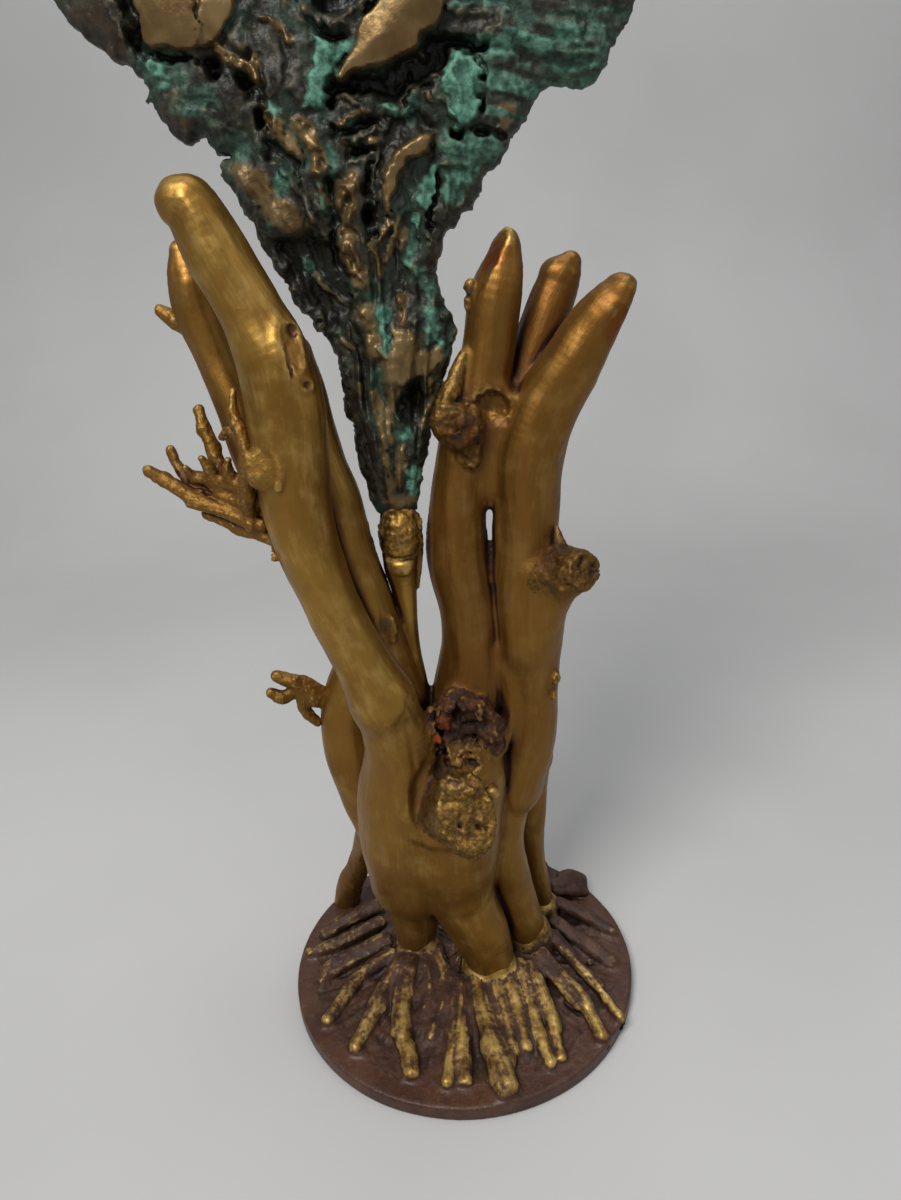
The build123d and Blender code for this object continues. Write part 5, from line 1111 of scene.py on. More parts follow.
    # crusty knob and the nubs under it
    F.lump((-69.5, -32.0, 293.0), (7.2, 5.4, 7.4), I["bark_knob"], 3.5, 1.0, 0.25, 16)
    F.lump((-73.5, -32.0, 297.5), (3.0, 3.0, 3.2), I["bark_knob"], 1.6, 1.0, 0.7, 17)
    F.add([(-63.5, -35.5, 300.0, 1.0), (-61.5, -36.5, 294.0, 1.6), (-63.0, -37.5, 287.0, 1.4)], I["bark_knob"], 2.4, 1.0, 0.3, 18)
    F.dent((-69.5, -38.2, 294.5), (2.4, 1.8, 2.0), 1.0, 0.6, 0.7, 19)
    F.rough((-82, -44, 282), (-58, -22, 306), 0.5, 0.3, 20, 3)
    for i, (x, y, z, r) in enumerate([(-70.5, -22, 262, 2.6), (-69.5, -20, 257, 2.8), (-68.0, -18, 252.5, 2.6), (-66.0, -19, 248, 2.4), (-63.5, -20, 243.5, 1.8), (-69.5, -26, 254.5, 1.8)]):
        F.lump((x, y, z), (r, r * 0.9, r * 1.1), I["left_main_limb"], 1.6, 1.0, 0.8, 30 + i)
    F.rough((-76, -30, 238), (-58, -10, 268), 0.8, 0.6, 22, 3)
    # dark patch on the inner left limb
    F.dent((-28.9, -10.2, 215.0), (1.7, 2.2, 7.5), 1.2, 0.5, 0.5, 41, across((0.5, -0.86, 0.0)))
    F.lump((-25.6, -6.6, 211.0), (2.4, 2.4, 6.5), I["inner_left_limb"], 2.0, 0.5, 0.4, 42)
    # finger one: slanted cut, dark knob, hollow
    plane_cut(F, (22.0, 4.6, 363.8), (-0.76, -0.36, 0.54), 15.0, 0.45, 0.45, 40, 0.9)
    F.lump((13.6, 4.4, 353.0), (2.4, 2.6, 3.0), I["inner_right_limb"], 1.4, 1.0, 0.7, 44)
    F.lump((12.6, 4.0, 347.0), (1.8, 2.2, 2.6), I["inner_right_limb"], 1.4, 0.8, 0.8, 45)
    ax = across((0.37, -0.92, -0.10))
    F.lump((20.5, 0.5, 307.0), (10.5, 5.0, 10.0), I["inner_right_limb"], 5.0, 0.8, 0.2, 46)
    F.dent((21.8, -5.8, 307.4), (8.0, 7.2, 6.6), 2.6, 2.0, 0.22, 47)
    # crumbly knot between the fingers
    F.lump((8.6, -8.4, 301.0), (8.2, 5.4, 9.0), I["broken_knot"], 3.5, 2.4, 0.2, 48)
    F.lump((12.0, -5.6, 291.0), (3.8, 3.6, 8.0), I["broken_knot"], 4.0, 1.6, 0.3, 58)
    F.dent((10.5, -17.5, 305.5), (3.6, 3.0, 2.6), 1.0, 1.2, 0.5, 49)
    F.dent((6.0, -16.0, 296.0), (2.2, 3.0, 4.4), 1.4, 1.2, 0.4, 50)
    F.rough((-6, -24, 278), (22, 2, 318), 1.7, 0.26, 52, 4)
    F.lump((-1.4, -9.6, 304.7), (2.4, 2.6, 2.6), I["resin_link"], 1.6, 0.5, 0.5, 73)
    # ridge along the outer trunk, nubs
    F.add([(22.6, -1.0, 196, 1.6), (24.6, -3.0, 186, 2.6), (26.4, -4.2, 174, 3.0), (26.0, -5.0, 160, 3.2), (22.0, -8.0, 148, 3.0)], I["outer_right_limb"], 5.0, 2.0, 0.3, 3)
    F.add([(26.4, 2.5, 264, 5.4), (24.9, 2.5, 254, 5.2), (25.2, 2.5, 244, 5.2), (25.4, 2.5, 232, 6.0)], I["outer_right_limb"], 3.0, 2.0, 0.2, 4)
    F.add([(36, 3, 198, 13.0), (41.5, -1, 214, 11.5), (47, -6.5, 228, 9.6), (53, -13, 237, 8.4)], I["outer_right_limb"], 5.0, 2.0, 0.5, 14)
    F.lump((47.6, -4.4, 181.5), (2.4, 2.4, 3.6), I["outer_right_limb"], 1.6, 0.8, 0.7, 53)
    F.lump((46.8, -3.8, 172.0), (1.8, 2.0, 2.4), I["outer_right_limb"], 1.6, 0.8, 0.7, 54)
    # knot stub on the right
    F.add([(49.5, -10.0, 244, 3.4), (48.5, -8.0, 250, 2.2), (47.5, -6.0, 255.5, 0.9)], I["knot_stub_right"], 2.4, 2.0, 0.6, 55)
    plane_cut(F, (57.8, -19.6, 240.0), (0.58, -0.78, 0.24), 13.0, 2.6, 0.2, 60, 0.8)
    F.dent((43.0, -15.5, 246.0), (5.0, 5.2, 8.0), 2.0, 2.0, 0.3, 56)
    F.rough((40, -30, 226), (70, 0, 256), 1.6, 0.34, 61, 4)
    # front stub: cut face, cleft, lips
    F.add([(-4, -22, 133, 12.5), (4.6, -46, 139.5, 11.8)], I["front_stub"], 3.0, 3.0, 0.6, 12)
    F.add([(-1, -24, 122, 12.0), (5.6, -42, 124.5, 11.0)], I["front_stub"], 3.0, 3.0, 0.6, 13)
    plane_cut(F, (4.6, -46.6, 134.0), (0.10, -0.86, 0.50), 24.0, 1.3, 0.26, 62, 0.8)
    F.rough((-16, -66, 108), (26, -34, 158), 1.9, 0.2, 63, 4)
    F.lump((2.0, -37.0, 147.0), (10.0, 5.5, 6.0), I["front_stub"], 3.0, 2.0, 0.3, 74)
    F.groove([(-3.0, -48.5, 146, 0.5), (1.0, -47.5, 137, 0.9), (0.0, -46.0, 128, 0.5)], 0.8)
    F.groove([(9.0, -49.5, 143, 0.4), (8.0, -47.0, 134, 0.7), (10.5, -45.0, 126, 0.4)], 0.8)
    F.groove([(-11.0, -26.5, 153.0, 1.2), (-15.0, -28.0, 146.0, 2.0), (-17.5, -29.0, 139.0, 2.4), (-19.8, -30.5, 130.0, 2.0), (-20.5, -30.6, 124.0, 1.2), (-18.5, -30.8, 118.0, 0.7)], 2.6)
    F.add([(-23.5, -25.0, 136.0, 2.4), (-24.0, -26.5, 126.0, 3.0), (-20.5, -27.2, 116.0, 3.2), (-13.0, -27.8, 111.5, 3.4), (-5.0, -29.5, 111.0, 3.4)], I["trunk_body"], 4.0, 2.0, 0.2, 6)
    F.lump((16.6, -24.5, 134.0), (3.4, 3.6, 3.4), I["trunk_body"], 1.8, 0.6, 0.5, 64)
    # broken hollow over the stub
    F.lump((3.0, -9.0, 163.0), (15.0, 9.0, 17.0), I["burl_crust"], 3.0, 3.4, 0.13, 65)
    F.lump((17.0, -12.0, 158.0), (6.0, 5.5, 13.0), I["burl_crust"], 2.5, 2.4, 0.22, 66)
    F.lump((-11.0, -15.0, 162.0), (3.4, 4.0, 12.0), I["burl_crust"], 2.0, 1.6, 0.3, 67)
    F.dent((3.0, -21.0, 164.0), (9.5, 8.5, 13.0), 1.5, 4.6, 0.16, 68)
    rng = np.random.default_rng(77)
    for i in range(8):
        c = (rng.uniform(-9, 20), rng.uniform(-20, -12), rng.uniform(146, 178))
        r = rng.uniform(1.4, 3.2)
        if i % 4:
            F.dent(c, (r * 0.8, r * 1.6, r * 2.4), 1.4, 1.6, 0.35, 170 + i)
        else:
            F.lump(c, (r * 0.5, r, r * 2.4), I["burl_crust"], 1.6, 1.6, 0.3, 170 + i)
    F.dent((-5.9, -21.5, 146.0), (4.6, 7.5, 4.8), 1.0, 0.8, 0.4, 69)
    F.dent((8.5, -21.0, 147.5), (3.4, 4.5, 3.0), 1.0, 1.0, 0.5, 70)
    F.lump((1.8, -21.0, 144.5), (2.0, 3.4, 3.4), I["burl_crust"], 0.8, 0.8, 0.7, 71)
    F.add([(-8.6, -15.5, 166.5, 0.7), (-7.8, -17.0, 161.5, 1.3), (-6.6, -18.0, 156.0, 0.9)], I["burl_crust"], 0.5, 1.5, 0.3, 8)
    F.add([(-3.6, -12.0, 172.0, 0.6), (-3.2, -15.0, 166.0, 1.2), (-2.4, -17.5, 160.0, 0.8)], I["burl_crust"], 0.5, 1.5, 0.3, 9)
    F.rough((-18, -34, 132), (28, 2, 188), 2.8, 0.2, 72, 4)
    # folds that run down the trunk and over the legs
    F.groove([(-19.5, -30.0, 176, 0.5), (-17.4, -31.0, 160, 1.2), (-17.5, -31.5, 148, 1.0)], 2.5)
    F.clip(2, 8.2)
    v, q = F.mesh()
    v = relax(v, q, 1, 0.4)
    fl = face_labels(F, v, q)
    fl = face_islands(q, clean_labels(q, fl, 4))
    n = vertex_normals(v, q)
    vl = vertex_label(q, fl, len(v))
    gx, gy, gs = along(v, vl, lines)
    bark = spots(v, [(-69, -33, 293, 11, 1), (-69, -21, 254, 9, 0.8), (9, -11, 300, 13, 1), (52, -14, 240, 17, 1), (4.5, -50, 133, 15, 0.9),
                     (4, -18, 158, 22, 1), (13, 4, 350, 5, 0.9), (47, -4, 178, 7, 0.7), (-20, 5, 254, 15, 0.5), (-60, 40, 40, 26, 0.8), (-27, -8, 213, 6, 0.5)])
    folds = fbm(gx / 8.5, gy / 8.5, gs / 60, 201, 2) * 0.85 + fbm(gx / 22, gy / 22, gs / 38, 202, 2) * 0.7
    folds = blurred(q, len(v), folds, 8)
    gx, gy, gs = (blurred(q, len(v), c, 3) for c in (gx, gy, gs))
    fine = blurred(q, len(v), fbm(gx / 2.6, gy / 2.6, gs / 26, 203, 2), 1)
    lumps = fbm(v[:, 0] / 2.8, v[:, 1] / 2.8, v[:, 2] / 2.8, 204, 3)
    torn = spots(v, [(4, -16, 161, 19, 1)])
    lumps = lumps * (1 - torn) + torn * 1.7 * fbm(v[:, 0] / 2.1 + 0.3 * v[:, 2] / 7, v[:, 1] / 2.1, v[:, 2] / 7.5, 205, 3)
    crumbs = spots(v, [(-20, 5, 252, 13, 1), (4.5, -48, 133, 15, 0.35), (1, -7, 308, 10, 0.5), (56, -18, 240, 9, 0.6)])
    grit = fbm(v[:, 0] / 1.9, v[:, 1] / 1.9, v[:, 2] / 1.9, 206, 2)
    v = v + n * (folds * (1 - 0.6 * bark) + fine * 0.20 * (1 - bark) + lumps * (0.05 + 0.42 * bark) + grit * crumbs * 0.75)[:, None]
    v[:, 2] = np.maximum(v[:, 2], 8.2)
    n = vertex_normals(v, q)
    c1, c2 = curvature(v, q, n, 3), curvature(v, q, n, 16)
    crest = np.clip(c1 / 0.16, -1, 1) * 0.45 + np.clip(c2 / 0.9, -1, 1) * 0.55
    ao = blurred(q, len(v), openness(F, v, n), 2)
    # dark spots over the dents and holes carved above: they paint shade inside them
    dark = spots(v, [(-52.4, -30.5, 343.8, 2.6, 1), (-48.3, -32.6, 324.4, 1.8, 0.8), (20.2, -4.0, 307.0, 4.4, 1), (13.2, 4, 352, 3.4, 0.9),
                     (12.4, 4, 347, 2.6, 0.8), (-6, -19, 146, 5.6, 1), (8.5, -19, 147.5, 3.6, 0.9), (3, -14, 163, 11.0, 0.75), (-28.6, -8.6, 214, 3.6, 0.8),
                     (-18.8, -28.6, 138, 2.6, 0.8), (49, -12, 247, 3.5, 0.8), (46, -16, 233, 4.5, 0.8), (6, -15, 297, 3.2, 0.8), (11, -16, 305, 3.4, 0.7)])
    red = spots(v, [(21.2, 2.4, 366.0, 7.5, 0.75), (-7.8, -16.5, 161.0, 4.2, 1), (-3.2, -14.5, 166.0, 4.0, 1), (8.0, -15.0, 299, 7, 0.5),
                    (4, -14, 314, 4, 0.5), (71.6, -7, 338, 9.0, 0.6), (56, 20, 358, 6, 0.3)])
    # amber shellac per limb and in given spots, raised on the fingers and the right-hand limbs as painted shade
    tone = {"left_rear_limb": 0.6, "left_low_lobe": 0.5, "inner_left_limb": 0.35, "inner_right_limb": 0.7, "middle_finger": 0.95, "far_right_leg": 0.6,
            "right_leg": 0.4, "outer_right_limb": 0.62, "back_left_root": 0.6, "trunk_body": 0.4, "broken_knot": 0.7, "knot_stub_right": 0.45, "centre_leg": 0.3, "left_leg": 0.4, "left_main_limb": 0.1, "resin_link": 0.3}
    amber = np.array([tone.get(o, 0.0) for o in order])[vl]
    amber = np.maximum(amber, (vl == I["inner_right_limb"]) * (1 - sstep(185, 245, v[:, 2])) * 0.9)
    amber = np.maximum(amber, spots(v, [(70, -4, 342, 16, 1.0), (53, 19, 350, 14, 1.0), (24, 4, 362, 7, 1.0), (50, 0, 268, 14, 0.8), (50, 4, 190, 16, 0.8), (46, 4, 312, 18, 0.7), (-66, -20, 262, 10, 0.5), (-28, -8, 96, 12, 0.5), (21, 3, 362, 9, 0.7), (12, -6, 300, 20, 0.6), (20, 2, 240, 16, 0.7), (24, 4, 200, 18, 0.8), (-14, -24, 140, 14, 0.6), (2, -12, 176, 20, 0.9), (-24, 10, 200, 14, 0.7), (42, -12, 246, 9, 0.9)]))
    # painted shade: more amber on the sides that face away from the front
    amber = np.maximum(amber, sstep(0.1, 0.8, n[:, 1]) * 0.35)
    amber = blurred(q, len(v), amber, 14)
    attrs = {"ao": ao, "crest": crest, "dark": dark, "red": red, "bark": bark, "amber": amber, "gx": gx * MM, "gy": gy * MM, "gs": gs * MM}
    mats = {i: GILDED for i in order}
    mats.update(bark_knob=GILDED, knot_stub_right=BARK, front_stub=BARK, resin_link=BARK, stem_collar=FILLER, burl_crust=CRUST, broken_knot=BARK)
    objs = split(v, q, fl, order, n, attrs, mats, sink=8.0)
    slots = {i: "gilded_wood" for i in order}
    slots.update(bark_knob="gilded_bark", resin_link="gold_filler", stem_collar="gold_filler", burl_crust="dark_crust", broken_knot="dark_crust")
    finish_pieces("wood_", objs)
    return objs


def make_twigs():
    names = ["twig_upper", "twig_middle", "twig_lower", "twig_base", "twig_band_upper", "twig_band_lower", "vine_strand"]
    low = ["lower_twig", "lower_twig_fork", "lower_twig_spur"]
    out = {}
    for box, group in ((((-126, -34, 250), (-64, 14, 326)), names), (((-94, 8, 140), (-54, 34, 184)), low),
                       (((-117, 4, 332), (-92, 22, 356)), ["left_rear_stub"])):
        F = Field(*box, 0.42)
        lines = {}
        rng = np.random.default_rng(5 + len(group))
        for i, n in enumerate(group):
            pts = LIMBS["lower_twig_fork2" if n == "lower_twig_spur" else n]
            pts = [(p[0], p[1], p[2], p[3] * 1.12) for p in pts]
            F.add(pts, i, 2.2, 1.2, 0.6, 300 + i)
            lines[i] = pts
            P = dense(pts, 1.0)
            for j in range(max(1, len(P) // 14)):
                p = P[rng.integers(0, len(P))]
                w = rng.normal(size=3)
                w /= np.linalg.norm(w)
                r = p[3] * rng.uniform(0.6, 0.9)
                F.lump(p[:3] + w * p[3] * 0.6, (r, r, r * 1.2), i, 1.6, 0.4, 0.6, 320 + j)
        if group is names:
            # short spurs and knuckles among the twigs
            for i, (key, pts) in enumerate([
                    ("twig_middle", [(-101.5, -6, 280, 2.4), (-103.0, -9, 285.5, 2.0), (-104.5, -11, 289.5, 1.3)]),
                    ("twig_base", [(-92, -12, 284, 2.8), (-94.5, -14, 290, 2.2), (-96.5, -15, 294, 1.4)]),
                    ("twig_base", [(-84, -15, 283, 3.0), (-86, -17, 289, 2.4), (-85, -18, 293.5, 1.6)]),
                    ("twig_base", [(-80, -17, 283, 3.0), (-82, -18, 276, 2.6), (-84, -18, 270, 2.0)]),
                    ("twig_base", [(-76, -19, 276, 3.4), (-84, -16, 276, 3.6), (-92, -12, 279, 3.2)]),
                    ("twig_band_upper", [(-78, -18, 272, 3.0), (-86, -16, 272.5, 3.0)]),
                    ("vine_strand", [(-78.6, -22, 321.5, 1.6), (-78.8, -25, 314, 2.3), (-76.6, -27.5, 307, 2.5), (-75.4, -29.5, 300.6, 2.4), (-76.2, -29.5, 291.9, 2.6), (-77.5, -26.5, 281.5, 2.8), (-79.0, -21, 273, 2.6)]),
                    ("vine_strand", [(-77.0, -26, 303, 1.8), (-82.0, -22, 306.5, 2.0), (-86.0, -18, 303.0, 1.8)])]):
                F.add(pts, names.index(key), 1.8, 1.2, 0.5, 340 + i)
        v, q = F.mesh()
        fl = face_islands(q, clean_labels(q, face_labels(F, v, q), 3))
        n = vertex_normals(v, q)
        vl = vertex_label(q, fl, len(v))
        gx, gy, gs = along(v, vl, lines)
        d = fbm(v[:, 0] / 2.2, v[:, 1] / 2.2, v[:, 2] / 2.2, 351, 2) * 0.34 + fbm(gx / 1.2, gy / 1.2, gs / 7, 352, 2) * 0.2
        v = v + n * d[:, None]
        n = vertex_normals(v, q)
        crest = np.clip(curvature(v, q, n, 4) / 0.14, -1, 1)
        ao = openness(F, v, n)
        zero = np.zeros(len(v))
        attrs = {"ao": ao, "crest": crest, "dark": zero, "red": zero, "bark": zero + 0.6, "amber": zero + 0.5, "gx": gx * MM, "gy": gy * MM, "gs": gs * MM}
        objs = split(v, q, fl, group, n, attrs, GILDED, 0.5, 1.5)
        finish_pieces("wood_", objs)
        out.update(objs)
    return out


# --------------------------------------------------------------------------
# Base: disc, clay bed, clay roots, collars
# --------------------------------------------------------------------------
RIDGE_GROUPS = {
    "clay_roots_left_rear": ["root_left_a", "root_left_b"],
    "clay_roots_left": ["root_left_c", "root_left_d"],
    "clay_root_left_front": ["root_left_e"],
    "clay_root_front_left": ["root_front_a"],
    "clay_roots_front_pair": ["root_front_b", "root_front_c"],
    "clay_root_front_fork": ["root_front_d", "root_front_e"],
    "clay_root_front_big": ["root_front_f"],
    "clay_roots_front_right": ["root_front_g", "root_front_h"],
    "clay_roots_right_front": ["root_right_a", "root_right_b"],
    "clay_root_right_big": ["root_right_c"],
    "clay_roots_right": ["root_right_d", "root_right_e", "root_right_f"],
    "clay_roots_right_rear": ["root_back_right", "root_back_lump"],
    "clay_roots_back_right": ["root_back_a", "root_back_b"],
    "clay_roots_back_left": ["root_back_c", "root_back_d", "root_back_e"],
}
COLLARS = {"collar_left": (-25.3, 1.0, 10.6, 26), "collar_centre": (13.6, -14.0, 12.4, 26), "collar_right": (36.8, 4.0, 10.2, 26), "collar_far_right": (45.6, 30.0, 7.7, 20)}


def make_base():
    F = Field((-93, -93, -2.1), (93, 93, 34), 0.62)
    order = ["base_disc", "clay_bed"] + list(RIDGE_GROUPS) + list(COLLARS)
    I = {n: i for i, n in enumerate(order)}
    a, b = np.zeros(3, int), F.n
    x, y, z = F.axes(a, b)
    R = np.sqrt(x * x + y * y)
    ang = np.arctan2(y, x)
    rim = 89.6 + 0.25 * vnoise(np.cos(ang) * 4, np.sin(ang) * 4, 0, 401)
    d = smax(smax(R - rim, z - (7.9 + 0.35 * fbm(x / 9, y / 9, 0, 402, 3)), 1.6), 0.05 - z, 0.8)
    F.merge(a, b, np.broadcast_to(d, F.n).astype(f32), I["base_disc"], 0)
    hb = 8 + 7.5 * (1 - sstep(22, 79 + 4 * vnoise(np.cos(ang) * 6, np.sin(ang) * 6, 0, 403), R)) + (1.0 * fbm(x / 7, y / 7, 0, 404, 3) + 1.8 * fbm(np.cos(ang) * 9 + 20, np.sin(ang) * 9, R / 40, 406, 3)) * (1 - sstep(62, 80, R))
    d = smax((z - hb) * 0.85, R - (79 + 3.5 * vnoise(np.cos(ang) * 7, np.sin(ang) * 7, 0, 405)), 2.0)
    d = np.maximum(d, 4.0 - z)
    F.merge(a, b, np.broadcast_to(d, F.n).astype(f32), I["clay_bed"], 1.0)
    lines = {}
    seed = 410
    for node, keys in RIDGE_GROUPS.items():
        for key in keys:
            pts = RIDGES[key]
            # each root is a bundle: a main roll and a thinner one at its side
            F.add([(p[0], p[1], p[2] - 0.5, p[3] * 0.9) for p in pts], I[node], 4.6, 2.0, 1.3, seed)
            lines.setdefault(I[node], pts)
            P = np.array(pts, float)
            side = np.cross(P[-1, :3] - P[0, :3], (0, 0, 1.0))
            side /= np.linalg.norm(side)
            if len(P) > 2:
                s = 1 if seed % 2 else -1
                Q = P[:-1].copy() if len(P) > 3 else P.copy()
                Q[:, :3] += side * s * (P[: len(Q), 3:4] * 0.85)
                Q[:, 2] -= 1.3
                Q[:, 3] *= 0.6
                F.add([tuple(p) for p in Q], I[node], 2.4, 2.0, 1.0, seed + 1)
            seed += 3
    for node, (cx, cy, r, top) in COLLARS.items():
        F.add([(cx, cy, 9, r + 2.2), (cx, cy, (9 + top) / 2, r + 0.9), (cx, cy, top - 3.5, r - 0.6)], I[node], 2.4, 2.0, 1.1, 480 + int(cx))
    # small crumbs and stubs of clay between the roots
    rng = np.random.default_rng(11)
    for i in range(46):
        t, rr = rng.uniform(0, 2 * math.pi), rng.uniform(34, 70)
        r = rng.uniform(1.2, 2.4)
        F.lump((rr * math.cos(t), rr * math.sin(t), 9.5 + 3 * (1 - rr / 75)), (r * 1.3, r * 1.3, r), I["clay_bed"], 1.2, 0.7, 0.6, 500 + i)
    v, q = F.mesh()
    fl = face_labels(F, v, q)
    fl = face_islands(q, clean_labels(q, fl, 3))
    n = vertex_normals(v, q)
    vl = vertex_label(q, fl, len(v))
    gx, gy, gs = along(v, vl, lines)
    radial = np.sqrt(v[:, 0] ** 2 + v[:, 1] ** 2)
    a0 = np.arctan2(v[:, 1], v[:, 0])
    isroot = (vl >= 2)
    top = sstep(6.0, 8.5, v[:, 2])
    rough = fbm(v[:, 0] / 3.0, v[:, 1] / 3.0, v[:, 2] / 3.0, 421, 3)
    streak = np.where(isroot, fbm(gx / 2.9, gy / 2.9, gs / 24, 423, 3), fbm(np.cos(a0) * 17, np.sin(a0) * 17, radial / 22, 422, 3))
    amp = np.where(isroot, 0.3, np.where(vl == 1, 0.5, 0.16))
    v = v + n * ((rough * amp + streak * np.where(isroot, 0.4, np.where(vl == 1, 0.8, 0.05))) * top)[:, None]
    v[:, 2] = np.maximum(v[:, 2], 0.02)
    n = vertex_normals(v, q)
    crest = np.clip(curvature(v, q, n, 4) / 0.22, -1, 1) * 0.25 + np.clip(curvature(v, q, n, 16) / 0.9, -1, 1) * 0.75
    ao = openness(F, v, n)
    bed = 8 + 8.0 * (1 - sstep(22, 77, radial))
    gold = sstep(0.6, 3.6, v[:, 2] - bed) * sstep(-0.2, 0.6, n[:, 2] + 0.25)
    gold = gold * np.interp(np.degrees(a0), [-180, -150, -120, -95, -75, -55, -30, 0, 40, 90, 140, 180], [0.5, 0.6, 0.85, 0.92, 0.8, 0.95, 0.7, 0.2, 0.15, 0.25, 0.3, 0.5])
    gold = np.where(isroot, gold, gold * 0.5)
    gold = np.where(vl >= 2 + len(RIDGE_GROUPS), np.maximum(gold, 0.55), gold)
    gold = np.where(vl == 0, 0.12 * sstep(0.3, 0.9, fbm(v[:, 0] / 14, v[:, 1] / 14, 0, 430, 2) + 0.3), gold)
    gold = blurred(q, len(v), gold, 2)
    attrs = {"ao": ao, "crest": crest, "gold": gold, "gx": gx * MM, "gy": gy * MM, "gs": gs * MM}
    mats = {i: CLAY for i in order}
    mats["base_disc"] = DISC
    for c in COLLARS:
        mats[c] = COLLAR
    slots = {i: "clay_roots" for i in order}
    slots["base_disc"] = "brown_disc"
    objs = split(v, q, fl, order, n, attrs, mats, centre_z=3.5)
    finish_pieces("clay_", objs)
    return objs


# --------------------------------------------------------------------------
# Crown
# --------------------------------------------------------------------------
CROWN_SHAPE = [(262.0, -20.6, 5.0, 8.4, 6.6), (276.0, -21.4, 5.2, 12.6, 8.6), (292.0, -20.6, 5.5, 16.6, 10.5), (312.0, -19.8, 6.0, 20.5, 12.0),
               (335.0, -19.6, 7.0, 26.4, 13.5), (360.0, -28.5, 8.0, 32.0, 14.5), (382.0, -29.8, 8.0, 45.0, 15.5), (402.0, -27.0, 8.0, 57.0, 16.0),
               (422.0, -21.5, 8.0, 80.0, 16.5), (446.0, -25.0, 8.0, 100.0, 17.5), (472.0, -27.0, 8.0, 108.0, 18.0), (498.0, -26.0, 8.0, 103.0, 17.0),
               (522.0, -24.0, 8.0, 84.0, 15.0), (540.0, -22.0, 8.0, 54.0, 11.5), (550.0, -21.0, 8.0, 20.0, 6.0)]


def poly_distance(P, x, z):
    """Signed distance to a polygon in the x z plane; negative inside."""
    P = np.array(P, float)
    d = np.full(np.broadcast(x, z).shape, 1e9)
    inside = np.zeros(d.shape, bool)
    for a, b in zip(P, np.roll(P, -1, 0)):
        e = b - a
        wx, wz = x - a[0], z - a[1]
        t = np.clip((wx * e[0] + wz * e[1]) / max(e @ e, 1e-9), 0, 1)
        d = np.minimum(d, (wx - e[0] * t) ** 2 + (wz - e[1] * t) ** 2)
        hit = ((a[1] <= z) & (b[1] > z)) | ((b[1] <= z) & (a[1] > z))
        with np.errstate(divide="ignore", invalid="ignore"):
            xx = a[0] + (z - a[1]) * e[0] / (e[1] if e[1] else 1e-9)
        inside ^= hit & (x < xx)
    return np.where(inside, -1, 1) * np.sqrt(d)


def line_distance(P, x, z):
    P = np.array(P, float)
    d = np.full(np.broadcast(x, z).shape, 1e9)
    for a, b in zip(P[:-1], P[1:]):
        e = b - a
        wx, wz = x - a[0], z - a[1]
        t = np.clip((wx * e[0] + wz * e[1]) / max(e @ e, 1e-9), 0, 1)
        d = np.minimum(d, (wx - e[0] * t) ** 2 + (wz - e[1] * t) ** 2)
    return np.sqrt(d)


def soft_lookup(A, x, z, x0, z0, s):
    i, j = (x - x0) / s, (z - z0) / s
    i, j = np.clip(i, 0, A.shape[0] - 1.001), np.clip(j, 0, A.shape[1] - 1.001)
    ii, jj = np.floor(i).astype(int), np.floor(j).astype(int)
    u, w = i - ii, j - jj
    return (A[ii, jj] * (1 - u) * (1 - w) + A[ii + 1, jj] * u * (1 - w) + A[ii, jj + 1] * (1 - u) * w + A[ii + 1, jj + 1] * u * w)


